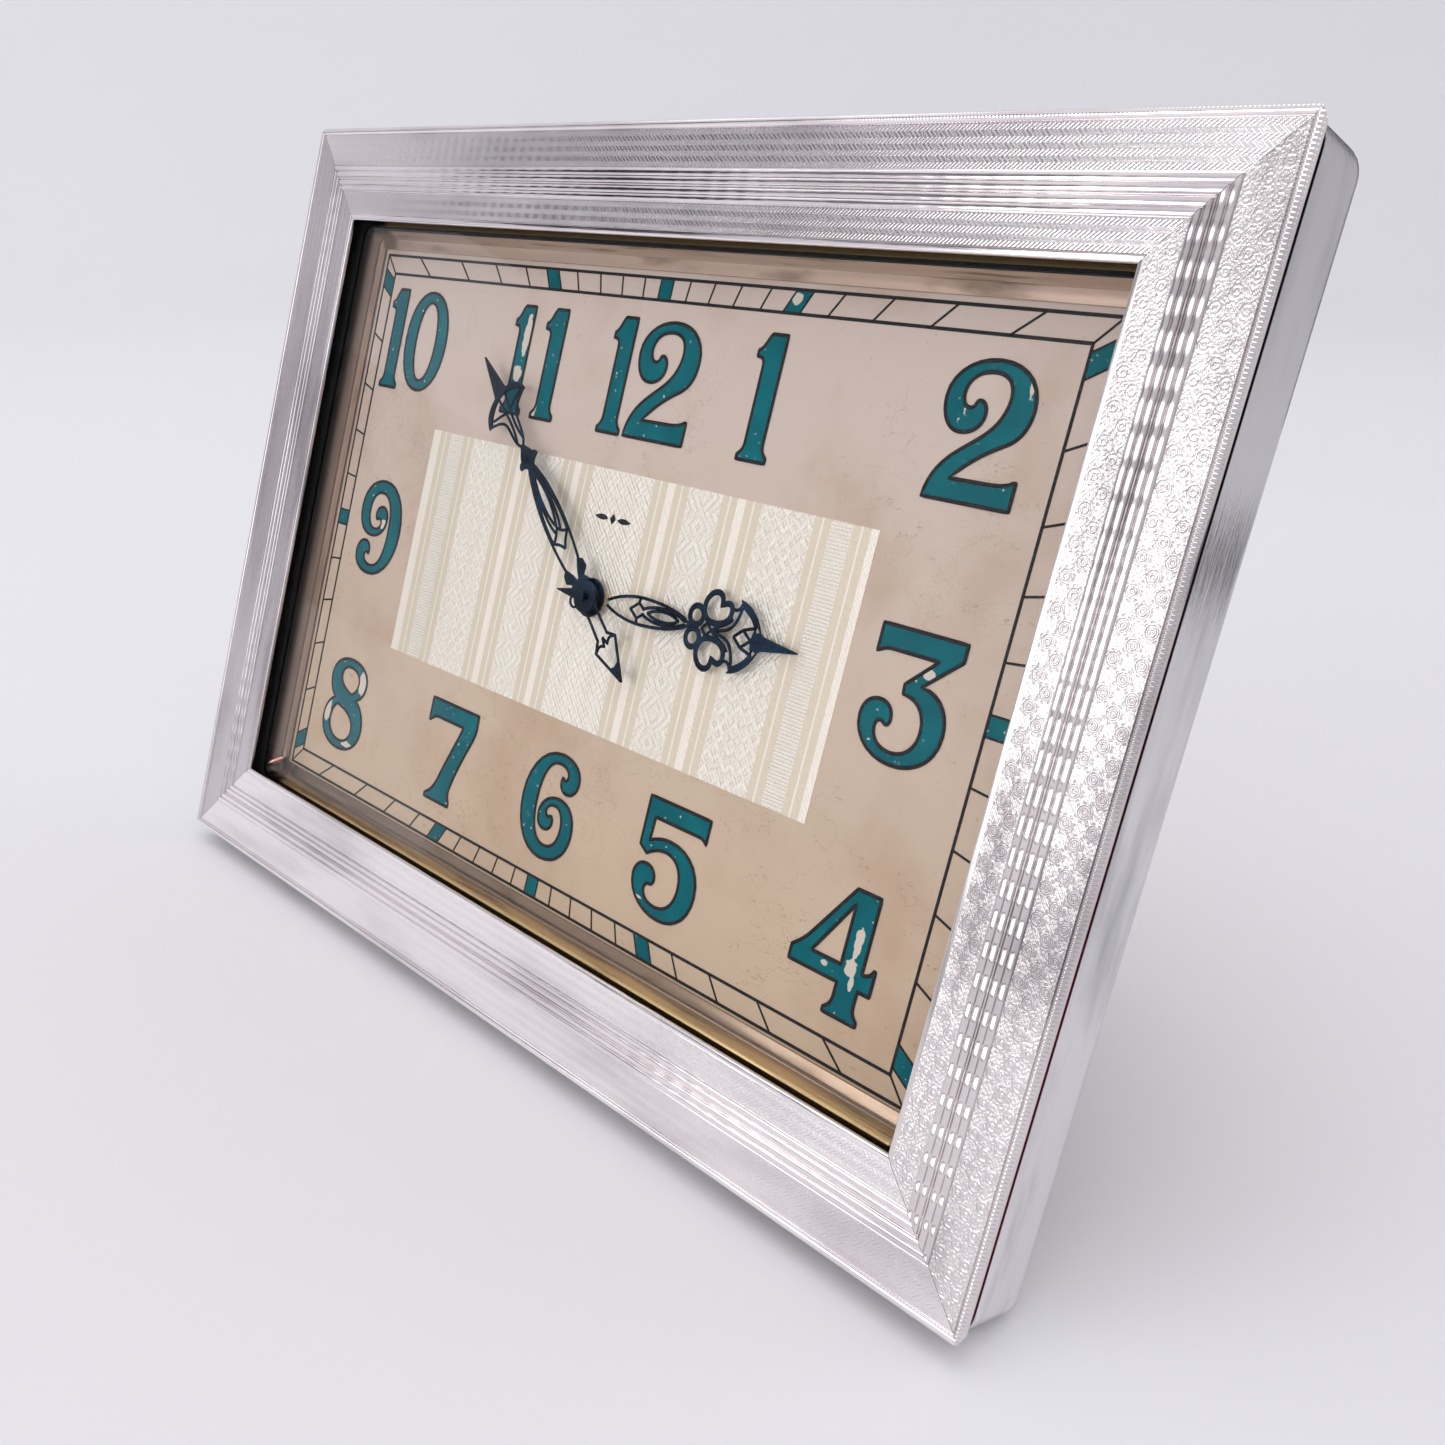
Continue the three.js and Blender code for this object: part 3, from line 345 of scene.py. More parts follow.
def gilt():
    """Aged gilt of the reveal: brown where worn, shiny low down, painted lighter higher up as lit, with a lip
    painted as a dark reflection, painted shade on the left and a black painted shadow by the glass there.
    """
    paint = Paint("aged_gilt")
    grain = paint.noise((5, 0.12, 5), 3)
    wear = paint.noise((14, 0.7, 14), 4).eased(0.5, 0.8)
    paint.relief(grain * 0.008)
    x, y, z = paint.xyz()
    left_side = x.eased(-60, -62)
    by_glass = y.eased(4.3, 3.0)
    lip = y.below(2.45)
    # Painted shadow: near black by the glass on the left side.
    painted_shadow_by_glass = left_side * y.eased(4.2, 2.6)
    mirror = z.eased(-38, -41)
    # Painted light and shade: low down the colour runs from darker by the dial to bright gold by the glass, and
    # the top is painted lighter, as lit.
    low_side = paint.mix(by_glass, (150, 130, 112), (214, 182, 134))
    base_with_painted_light = paint.mix(z.eased(-42, 42), low_side, (186, 162, 144))
    # Painted reflection: the lip behind the glass is painted dark olive.
    base_with_painted_light = paint.mix(lip, base_with_painted_light, (112, 94, 62))
    # Painted shade: darker down the left side of the reveal.
    base_with_painted_light = paint.mix(left_side, base_with_painted_light, (138, 116, 100))
    # Real wear laid over the painted light and shade.
    wear_and_painted_light = paint.mix(wear, base_with_painted_light, (110, 90, 74))
    paint.colour(paint.mix(painted_shadow_by_glass, wear_and_painted_light, (14, 10, 8)))
    paint.feed(paint.shader.inputs["Metallic"], 0.45 + mirror * 0.4)
    paint.roughness(0.28 - mirror * 0.16 + grain * 0.08 + wear * 0.1)
    return paint.material


def copper():
    paint = Paint("bare_copper", Metallic=1.0)
    paint.relief(paint.noise(0.5, 3) * 0.01)
    paint.colour(paint.mix(paint.noise(1.2, 3), (226, 158, 134), (240, 196, 178)))
    paint.roughness(0.25 + paint.noise(0.8) * 0.2)
    return paint.material


def turned_steel():
    paint = Paint("turned_steel", Metallic=1.0)
    grain = paint.noise((0.3, 0.06, 0.3), 2)
    paint.relief(grain * 0.006)
    paint.colour(paint.mix(paint.noise(4, 3), (200, 202, 206), (168, 170, 176)))
    paint.roughness(0.18 + grain * 0.18)
    return paint.material


def blued_steel():
    paint = Paint("blued_steel", Metallic=0.7, Specular_IOR_Level=0.3)
    temper = paint.noise(3.5, 3).eased(0.35, 0.7)
    paint.relief(paint.noise(0.25, 3) * 0.012)
    paint.colour(paint.mix(temper, (12, 24, 36), (26, 48, 68)))
    paint.roughness(0.3 + paint.noise(0.9, 3) * 0.2)
    return paint.material


# ---------------------------------------------------------------- dial finishes

TEAL = (0, 95, 104)


def cream_paint():
    """Aged paint: pinker above, browner below, with soft stains, fine pits and hair scratches."""
    paint = Paint("dial_cream", Specular_IOR_Level=0.35)
    _, _, z = paint.xyz()
    shade = paint.mix(z.eased(-45, 35), (206, 182, 154), (208, 191, 178))
    stain = paint.noise(17, 4, 0.6).eased(0.45, 0.75)
    shade = paint.mix(stain * 0.5, shade, (182, 152, 126))
    specks = paint.noise(0.45, 2).eased(0.72, 0.78)
    hairlines = (paint.noise((9, 9, 5), 4, 0.6) - 0.5).absolute().below(0.0025)
    hairlines = hairlines * paint.noise(22).above(0.5)
    paint.colour(paint.mix(specks * 0.45 + hairlines * 0.35, shade, (120, 98, 80)))
    paint.relief(paint.noise(0.35, 3) * 0.02 + paint.noise(5, 2) * 0.05)
    paint.roughness(0.5 + stain * 0.12)
    return paint.material


# The middle panel's stripes, as distances from its middle line. Plain stripes run in pairs with a
# thin bright ridge between them, and the bands between the pairs are engine-turned.
STRIPE_PAIRS = ((5.9, 8.35), (9.7, 12.15), (17.95, 20.4), (21.8, 24.35), (32.6, 35.0), (38.2, 40.7))
WEAVE_EDGE = 5.9
LOZENGES = (12.15, 17.95)
CROSSES = (24.35, 32.6)
CROSS_MIDDLE = 28.5
RULED = (35.0, 38.2)


def striped_panel():
    paint = Paint("silvered_panel", Metallic=0.3)
    x, _, z = paint.xyz()
    out = (x - DIAL["x"]).absolute()
    stripes = 0.0
    ridges = 0.0
    for low, high in STRIPE_PAIRS:
        stripes = stripes + out.between(low, high)
        ridges = ridges + (out - (low + high) / 2).absolute().below(0.14)
    dots = (out * 1.2).wave(0.7) * z.wave(0.7)
    weave = x.wave(1.0) * z.wave(1.3) + (x + z).wave(0.7) * 0.6
    lozenge = ((out - sum(LOZENGES) / 2).absolute() + z.folded(3.8)).wave(1.1) * 0.8 + dots * 0.6
    crosses = ((out - CROSS_MIDDLE).absolute().folded(1.6) + z.folded(2.0)).wave(1.05) * 0.8 + dots * 0.5
    lines = z.wave(0.42) * out.between(*RULED)
    pattern = (weave * out.below(WEAVE_EDGE) + lozenge * out.between(*LOZENGES)
               + crosses * out.between(*CROSSES) + lines + dots * (1 - stripes) * 0.4)
    paint.relief(pattern * 0.042 + ridges * 0.05 - stripes * 0.02 + paint.noise(0.28, 3) * 0.09)
    plain = paint.mix(stripes - ridges, (250, 244, 231), (224, 213, 192))
    shadow = paint.noise((4, 4, 14), 3) * 0.3 + pattern * 0.25
    paint.colour(paint.mix(shadow, plain, (216, 204, 176)))
    paint.roughness(0.34 + stripes * 0.08 + paint.noise(2) * 0.1)
    return paint.material


# Where enamel has flaked off: x, z, and half the flake's width and height.
FLAKES = (
    (-25.2, 30.6, 0.75, 2.6), (-25.7, 25.4, 0.9, 1.1), (-20.4, 21.6, 0.4, 1.6),
    (53.2, -26.4, 0.55, 1.9), (53.0, -29.3, 0.8, 1.0), (53.5, -31.0, 0.35, 0.8), (49.4, -30.1, 0.5, 0.3),
    (53.0, 2.7, 0.65, 0.6), (56.0, 32.3, 0.3, 1.1),
    (-47.5, -23.8, 1.5, 1.9), (-55.8, -29.6, 0.9, 2.1), (-49.0, -33.8, 1.5, 0.5),
    (-50.6, 0.2, 0.8, 0.7), (22.3, 38.6, 0.9, 0.7), (19.7, -33.4, 0.8, 0.2),
)


def enamel():
    """Teal enamel with a slight gloss, lighter where thin, and flaked to the cream below."""
    paint = Paint("teal_enamel", Specular_IOR_Level=0.1)
    nearest = 9.0
    for x, z, half_width, half_height in FLAKES:
        node = paint.node("ShaderNodeVectorMath")
        node.operation = "LENGTH"
        spot = paint.stretched((half_width, 50, half_height), (x, DIAL["front"], z))
        paint.feed(node.inputs[0], spot)
        nearest = paint.math("MINIMUM", nearest, Number(paint, node.outputs["Value"]))
    flaked = (nearest + paint.noise(0.7, 3) - 0.5).eased(1.02, 0.96)
    pinholes = paint.noise(0.5, 1).eased(0.75, 0.77)
    shade = paint.mix(paint.noise(6, 3).eased(0.4, 0.8), TEAL, (4, 112, 120))
    paint.colour(paint.mix(paint.math("MAXIMUM", flaked, pinholes), shade, (214, 204, 188)))
    paint.relief(paint.noise(0.5, 2) * 0.02 - flaked * 0.05)
    paint.roughness(0.38 + flaked * 0.25)
    return paint.material


def black_ink():
    paint = Paint("black_ink", Specular_IOR_Level=0.35)
    thin = paint.noise(0.6, 3).eased(0.55, 0.8)
    paint.colour(paint.mix(thin, (10, 12, 14), (48, 46, 44)))
    paint.relief(paint.noise(0.2) * 0.01)
    paint.roughness(0.45 + paint.noise(1) * 0.15)
    return paint.material


def clear_glass():
    """A pane that light passes straight through, with a faint reflection that grows at a slant."""
    paint = Paint("clear_glass", Metallic=1.0, Roughness=0.02)
    fresnel = paint.node("ShaderNodeFresnel")
    fresnel.inputs["IOR"].default_value = 1.22
    dust = paint.noise(0.8, 2).eased(0.74, 0.8) * 0.01
    paint.feed(paint.shader.inputs["Alpha"], Number(paint, fresnel.outputs["Fac"]) * 0.07 + dust)
    paint.colour((240, 246, 246))
    return paint.material


# ---------------------------------------------------------------- soft finishes


def felt():
    paint = Paint("black_felt", Sheen_Weight=0.04)
    # Near-black felt of the seal behind the glass; its darkness is partly painted shade, standing in for the deep
    # shade in the gap between the rails and the reveal.
    paint.colour(paint.mix(paint.noise((0.1, 0.1, 0.5), 3), (4, 4, 5), (18, 17, 18)))
    paint.relief(paint.noise((0.08, 0.08, 0.3), 2) * 0.06)
    paint.roughness(0.9 + paint.noise(1) * 0.08)
    return paint.material


def leather():
    """Dark red leather: pebbled grain, darker pores and a rubbed tooled line near the edge."""
    paint = Paint("red_leather", Coat_Weight=0.08, Coat_Roughness=0.35)
    x, _, z = paint.xyz()
    pebble = paint.cells(0.75)
    edge = paint.math("MAXIMUM", x.absolute() - HALF_WIDTH, z.absolute() - HALF_HEIGHT)
    tooled = (edge + 9.5).absolute().below(0.3) + (edge + 10.7).absolute().below(0.15)
    shade = paint.mix(pebble.eased(0.25, 0.75), (112, 26, 34), (60, 12, 18))
    shade = paint.mix(paint.noise(14, 4).eased(0.5, 0.8) * 0.4, shade, (134, 48, 48))
    paint.colour(paint.mix(tooled * 0.6, shade, (40, 8, 12)))
    paint.relief((1 - pebble) * 0.09 + paint.noise(0.25, 3) * 0.03 - tooled * 0.12)
    paint.roughness(0.42 + pebble * 0.2)
    return paint.material


def lining():
    """The crimson backing that shows as a thin seam behind the rails, painted almost black higher up as shade in
    the seam.
    """
    paint = Paint("crimson_lining", Sheen_Weight=0.15)
    _, _, z = paint.xyz()
    crimson = paint.mix(paint.noise(1.5, 3), (132, 14, 30), (92, 10, 22))
    # Painted shade: the seam turns almost black higher up.
    paint.colour(paint.mix(z.eased(-20, 25), crimson, (34, 10, 14)))
    paint.relief(paint.noise(0.2, 2) * 0.03)
    paint.roughness(0.6 + paint.noise(1) * 0.2)
    return paint.material


def thread():
    paint = Paint("waxed_thread", Sheen_Weight=0.1)
    paint.colour(paint.mix(paint.noise(0.3, 2), (96, 28, 34), (150, 70, 66)))
    paint.relief(paint.noise((0.08, 0.08, 0.2)) * 0.03)
    paint.roughness(0.6 + paint.noise(0.5) * 0.2)
    return paint.material


def paper_floor():
    paint = Paint("pale_floor", Specular_IOR_Level=0.1)
    paint.colour(paint.mix(paint.noise(300, 2), (234, 233, 236), (231, 230, 233)))
    paint.roughness(0.8 + paint.noise(40) * 0.1)
    return paint.material


# One silver in lit and shaded copies: painted lightest for the top and bottom rails, darker for the right rail and
# darkest for the left rail.
RAIL_ALONG_X = engine_turned("silver_long_rails", True, 0.0, (252, 246, 246), (222, 215, 217))
RIGHT_RAIL = engine_turned("silver_right_rail", False, 1.0, (232, 226, 225), (176, 169, 170))
LEFT_RAIL = engine_turned("silver_left_rail", False, 0.12, (214, 207, 209), (174, 167, 170))
PLATE = polished_plate()
BRASS = brass()
STEEL = turned_steel()
BLUED = blued_steel()
ENAMEL = enamel()
INK = black_ink()
LEATHER = leather()
THREAD = thread()
GILT = gilt()

# Every carried-over CAD node takes the finish of its slot in the record.
FINISH = {
    "silver": RAIL_ALONG_X, "chrome": PLATE, "crystal": clear_glass(), "felt": felt(), "gilt": GILT,
    "copper": copper(), "dial_paint": cream_paint(), "leather": LEATHER, "blued": BLUED,
    "steel": STEEL, "brass": BRASS,
}


def finish_cad_nodes():
    for part in frame["record"]["subparts"]:
        node = frame["nodes"][part["node"]]
        node.material_slots[0].material = FINISH[part["material_slot"]]
    frame["nodes"]["minute_arbor"].material_slots[0].material = BLUED
    frame["nodes"]["face_lining"].material_slots[0].material = lining()


# ---------------------------------------------------------------- mesh tools

SHARPEST = 0.05


def piece(name, mesh, material, body="case", place=CLOCK, sharp=32):
    """Puts a drawing in place as a named piece that moves with a CAD body."""
    mesh.transform(place)
    mesh.shade_smooth()
    mesh.set_sharp_from_angle(angle=math.radians(sharp))
    mesh.materials.clear()
    mesh.materials.append(material)
    obj = linked(name, mesh)
    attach(obj, body)
    return obj


def as_mesh(bm):
    bmesh.ops.recalc_face_normals(bm, faces=bm.faces)
    mesh = bpy.data.meshes.new("drawing")
    bm.to_mesh(mesh)
    bm.free()
    return mesh


def joined(*meshes):
    bm = bmesh.new()
    for mesh in meshes:
        bm.from_mesh(mesh)
        bpy.data.meshes.remove(mesh)
    mesh = bpy.data.meshes.new("drawing")
    bm.to_mesh(mesh)
    bm.free()
    return mesh


def loft(rings):
    """A closed skin through rings of equal length, where each ring and the row of rings close up."""
    bm = bmesh.new()
    rows = [[bm.verts.new(point) for point in ring] for ring in rings]
    for i, row in enumerate(rows):
        following = rows[(i + 1) % len(rows)]
        for j in range(len(row)):
            k = (j + 1) % len(row)
            bm.faces.new((row[j], row[k], following[k], following[j]))
    return as_mesh(bm)


def lathe(profile, at=(0, 0), sides=96):
    """A turning about a line along y through at, from [radius, y] points that start and end on it."""
    bm = bmesh.new()
    edges = []
    points = [bm.verts.new((at[0] + radius, y, at[1])) for radius, y in profile]
    for first, second in zip(points, points[1:]):
        edges.append(bm.edges.new((first, second)))
    bmesh.ops.spin(bm, geom=points + edges, cent=(at[0], 0, at[1]), axis=(0, 1, 0),
                   angle=2 * math.pi, steps=sides)
    bmesh.ops.remove_doubles(bm, verts=bm.verts, dist=1e-4)
    return as_mesh(bm)


def rounded_ring(half_width, half_height, radius, y, steps=8):
    """Points round a rectangle with round corners, at one depth."""
    points = []
    for quarter in range(4):
        side_x = 1 if quarter in (0, 3) else -1
        side_z = 1 if quarter in (0, 1) else -1
        for step in range(steps + 1):
            turn = math.radians(90 * (quarter + step / steps))
            points.append((side_x * (half_width - radius) + radius * math.cos(turn), y,
                           side_z * (half_height - radius) + radius * math.sin(turn)))
    return points


def moulding(profile, half_width, half_height, radius, centre=(0, 0), tall=1.0):
    """A rectangular ring from a closed profile of [inset, y] points. Insets grow by tall up and down."""
    rings = []
    for inset, y in profile:
        corner = max(radius - inset, SHARPEST)
        ring = rounded_ring(half_width - inset, half_height - inset * tall, corner, y)
        rings.append([(x + centre[0], depth, z + centre[1]) for x, depth, z in ring])
    return loft(rings)


def arc(centre, radius, start, end, steps=6):
    """Points of a quarter or other arc, from one angle in degrees to another."""
    return [polar(centre, radius, start + (end - start) * i / steps) for i in range(steps + 1)]


# ---------------------------------------------------------------- outlines


COMMANDS = {"M": 2, "L": 2, "C": 6, "Z": 0}


def read_path(text):
    """An outline of M, L, C and Z commands, as [point, handle before, handle after] anchors.

    A command's letter holds for all the points that follow it."""
    words = text.split()
    anchors = []
    place = 0
    while place < len(words):
        if words[place] in COMMANDS:
            command = words[place]
            place += 1
        count = COMMANDS[command]
        numbers = [float(word) for word in words[place:place + count]]
        place += count
        points = [Vector(numbers[i:i + 2]) for i in range(0, count, 2)]
        if command == "C":
            anchors[-1][2] = points[0]
            anchors.append([points[2], points[1], points[2]])
        elif count:
            anchors.append([points[0], points[0], points[0]])
    closed = words[-1] == "Z"
    if closed and (anchors[0][0] - anchors[-1][0]).length < 1e-6:
        anchors[0][1] = anchors.pop()[1]
    return anchors, closed


def circle(x, z, radius):
    """The path of a circle, as four curves."""
    pull = radius * 0.5523
    right, left, top, low = x + radius, x - radius, z + radius, z - radius
    return (f"M {right} {z} C {right} {z + pull} {x + pull} {top} {x} {top} "
            f"C {x - pull} {top} {left} {z + pull} {left} {z} "
            f"C {left} {z - pull} {x - pull} {low} {x} {low} "
            f"C {x + pull} {low} {right} {z - pull} {right} {z} Z")


def polyline(points, closed=False):
    """The path of straight lines through points."""
    (x, z), *others = points
    return f"M {x} {z} L " + " ".join(f"{x} {z}" for x, z in others) + (" Z" if closed else "")


def drawn(paths, dimensions, change=Matrix.Identity(2), shift=(0, 0)):
    """A Blender curve of outlines, stretched and turned by change and then moved by shift."""
    curve = bpy.data.curves.new("outline", "CURVE")
    curve.dimensions = dimensions
    curve.resolution_u = 7
    for text in paths:
        anchors, closed = read_path(text)
        spline = curve.splines.new("BEZIER")
        spline.bezier_points.add(len(anchors) - 1)
        spline.use_cyclic_u = closed
        for target, anchor in zip(spline.bezier_points, anchors):
            point, before, after = [(*(change @ v + Vector(shift)), 0) for v in anchor]
            target.handle_left_type = target.handle_right_type = "FREE"
            target.co, target.handle_left, target.handle_right = point, before, after
    return curve


def to_mesh(curve, middle, squeeze=1.0):
    """A curve's mesh, stood upright at depth middle, with its thickness multiplied by squeeze."""
    obj = linked("outline", curve)
    depsgraph = bpy.context.evaluated_depsgraph_get()
    mesh = bpy.data.meshes.new_from_object(obj.evaluated_get(depsgraph))
    bpy.data.objects.remove(obj)
    bpy.data.curves.remove(curve)
    stand = Matrix.Rotation(math.pi / 2, 4, "X")
    mesh.transform(Matrix.Translation((0, middle, 0)) @ Matrix.Scale(squeeze, 4, (0, 1, 0)) @ stand)
    return mesh


def plate(paths, front, back, bevel=0.03, **placing):
    """A flat plate between two depths, from its outlines, with slightly rounded edges."""
    curve = drawn(paths, "2D", **placing)
    curve.fill_mode = "BOTH"
    curve.extrude = (back - front) / 2 - bevel
    curve.bevel_depth = bevel
    curve.offset = -bevel
    curve.bevel_resolution = 1
    return to_mesh(curve, (front + back) / 2)


def wires(paths, width, front, back, **placing):
    """Flattened wires that follow the outlines."""
    curve = drawn(paths, "3D", **placing)
    curve.fill_mode = "FULL"
    curve.bevel_depth = width / 2
    curve.bevel_resolution = 2
    curve.use_fill_caps = True
    return to_mesh(curve, (front + back) / 2, (back - front) / width)


def mirrored(paths):
    """The paths with their copies on the other side of the line z = 0."""
    flipped = []
    for text in paths:
        words = text.split()
        count = 0
        for i, word in enumerate(words):
            if word in COMMANDS:
                continue
            count += 1
            if count % 2 == 0:
                words[i] = str(-float(word))
        flipped.append(" ".join(words))
    return [*paths, *flipped]


# ---------------------------------------------------------------- face frame


def half_round(low, high, foot, crown, steps=8):
    """A bead across the rail, as [distance in, depth] points."""
    return [(low + (high - low) * (1 - math.cos(math.pi * i / steps)) / 2,
             foot + (crown - foot) * math.sin(math.pi * i / steps)) for i in range(steps + 1)]


BAND_DEPTH = -0.16
GROOVE = -0.12
RIB = {"foot": -0.27, "crown": -0.34, "gap": 0.04}
RAIL_BACK = 0.45


def band_section(band):
    """A flat band across the rail, with an extra point by each edge to keep its shading flat."""
    start, end = band
    return [(inset, BAND_DEPTH) for inset in (start, start + 0.1, end - 0.1, end)]


def rail_profile():
    """The rail's section, as [distance in, depth] points round it from the outer edge."""
    points = [(0.0, 0.3), *half_round(*BEAD, 0.02, -0.42)]
    points += band_section(WIDE_BAND)
    for low, high in RIBS:
        crown = half_round(low + RIB["gap"], high - RIB["gap"], RIB["foot"], RIB["crown"])
        points += [(low, GROOVE), *crown, (high, GROOVE)]
    points += band_section(NARROW_BAND)
    points += [(12.65, -0.02), (13.1, -0.03), (13.25, 0.03), (RAIL_WIDTH, 0.12)]
    return [*points, (RAIL_WIDTH, RAIL_BACK), (0.0, RAIL_BACK)]


def rail_end(inset):
    """How far short of the rail's full length a line stops: on the mitre, or on the round corner."""
    mitre = inset + 0.03
    if inset >= RAIL_CORNER:
        return mitre
    rounding = RAIL_CORNER - math.sqrt(RAIL_CORNER ** 2 - (RAIL_CORNER - inset) ** 2)
    return max(mitre, rounding)


def rail(name, half_length, reach, turn, material):
    """One mitred rail, drawn along the foot of the frame and turned to its side."""
    bm = bmesh.new()
    sections = []
    for side in (-1, 1):
        sections.append([bm.verts.new((side * (half_length - rail_end(inset)), y, inset - reach))
                         for inset, y in rail_profile()])
    first, last = sections
    for i in range(len(first)):
        j = (i + 1) % len(first)
        bm.faces.new((first[i], first[j], last[j], last[i]))
    bm.faces.new(first)
    bm.faces.new(list(reversed(last)))
    mesh = as_mesh(bm)
    mesh.transform(Matrix.Rotation(math.radians(turn), 4, "Y"))
    obj = piece(f"{name}_turned", mesh, material, sharp=50)
    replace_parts(obj, name)


def build_rails():
    rail("frame_bottom_rail", HALF_WIDTH, HALF_HEIGHT, 0, RAIL_ALONG_X)
    rail("frame_top_rail", HALF_WIDTH, HALF_HEIGHT, 180, RAIL_ALONG_X)
    rail("frame_right_rail", HALF_HEIGHT, HALF_WIDTH, -90, RIGHT_RAIL)
    rail("frame_left_rail", HALF_HEIGHT, HALF_WIDTH, 90, LEFT_RAIL)


def build_rim():
    """The bright rim round the case: a spun shell with a rounded back edge."""
    profile = [(0, 1.0), (0, 8.2), *arc((2.4, 8.2), 2.4, 180, 90, 8), (6.2, 10.6), (6.2, 9.6),
               (1.2, 9.6), (1.2, 2.0), (6.2, 2.0), (6.2, 1.0)]
    mesh = moulding(profile, HALF_WIDTH, HALF_HEIGHT, RIM_CORNER)
    rim = piece("case_rim_spun", mesh, PLATE)
    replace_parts(rim, "case_rim")


def build_bezel():
    """The stepped gilt reveal, with a bead at its foot and a rolled lip behind the glass."""
    hollow = [(-1.2 - 0.8 * t, 4.2 - 1.6 * t - 0.12 * math.sin(math.pi * t)) for t in (0, 0.25, 0.5, 0.75)]
    profile = [(0, 5.1), (0, 4.85), (-0.35, 4.74), (-0.95, 4.62), (-1.1, 4.5), (-1.12, 4.3), *hollow,
               (-2.0, 2.5), (-2.1, 2.38), (-2.7, 2.38), (-2.7, 2.9), (-2.2, 2.9), (-1.5, 4.6), (-1.5, 5.1)]
    mesh = moulding(profile, 64.4, 40.6, 0.05, (DIAL["x"], DIAL["z"] + 0.2), 1.25)
    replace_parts(piece("inner_bezel_pressed", mesh, GILT), "inner_bezel")


def build_tab():
    """The small copper tab in the lower left corner of the reveal, from the bezel out to the glass."""
    bm = bmesh.new()
    bmesh.ops.create_uvsphere(bm, u_segments=16, v_segments=12, radius=1)
    mesh = as_mesh(bm)
    outer, inner = Vector((-66.0, 2.65, -42.0)), Vector((-64.0, 4.1, -40.3))
    thick = 0.5
    half = (outer - inner) / 2
    turn = half.to_track_quat("Z", "Y").to_matrix().to_4x4()
    size = Matrix.Diagonal((thick, thick, half.length, 1))
    mesh.transform(Matrix.Translation(inner + half) @ turn @ size)
    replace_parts(piece("bezel_tab_bent", mesh, FINISH["copper"]), "bezel_tab")


# ---------------------------------------------------------------- dial

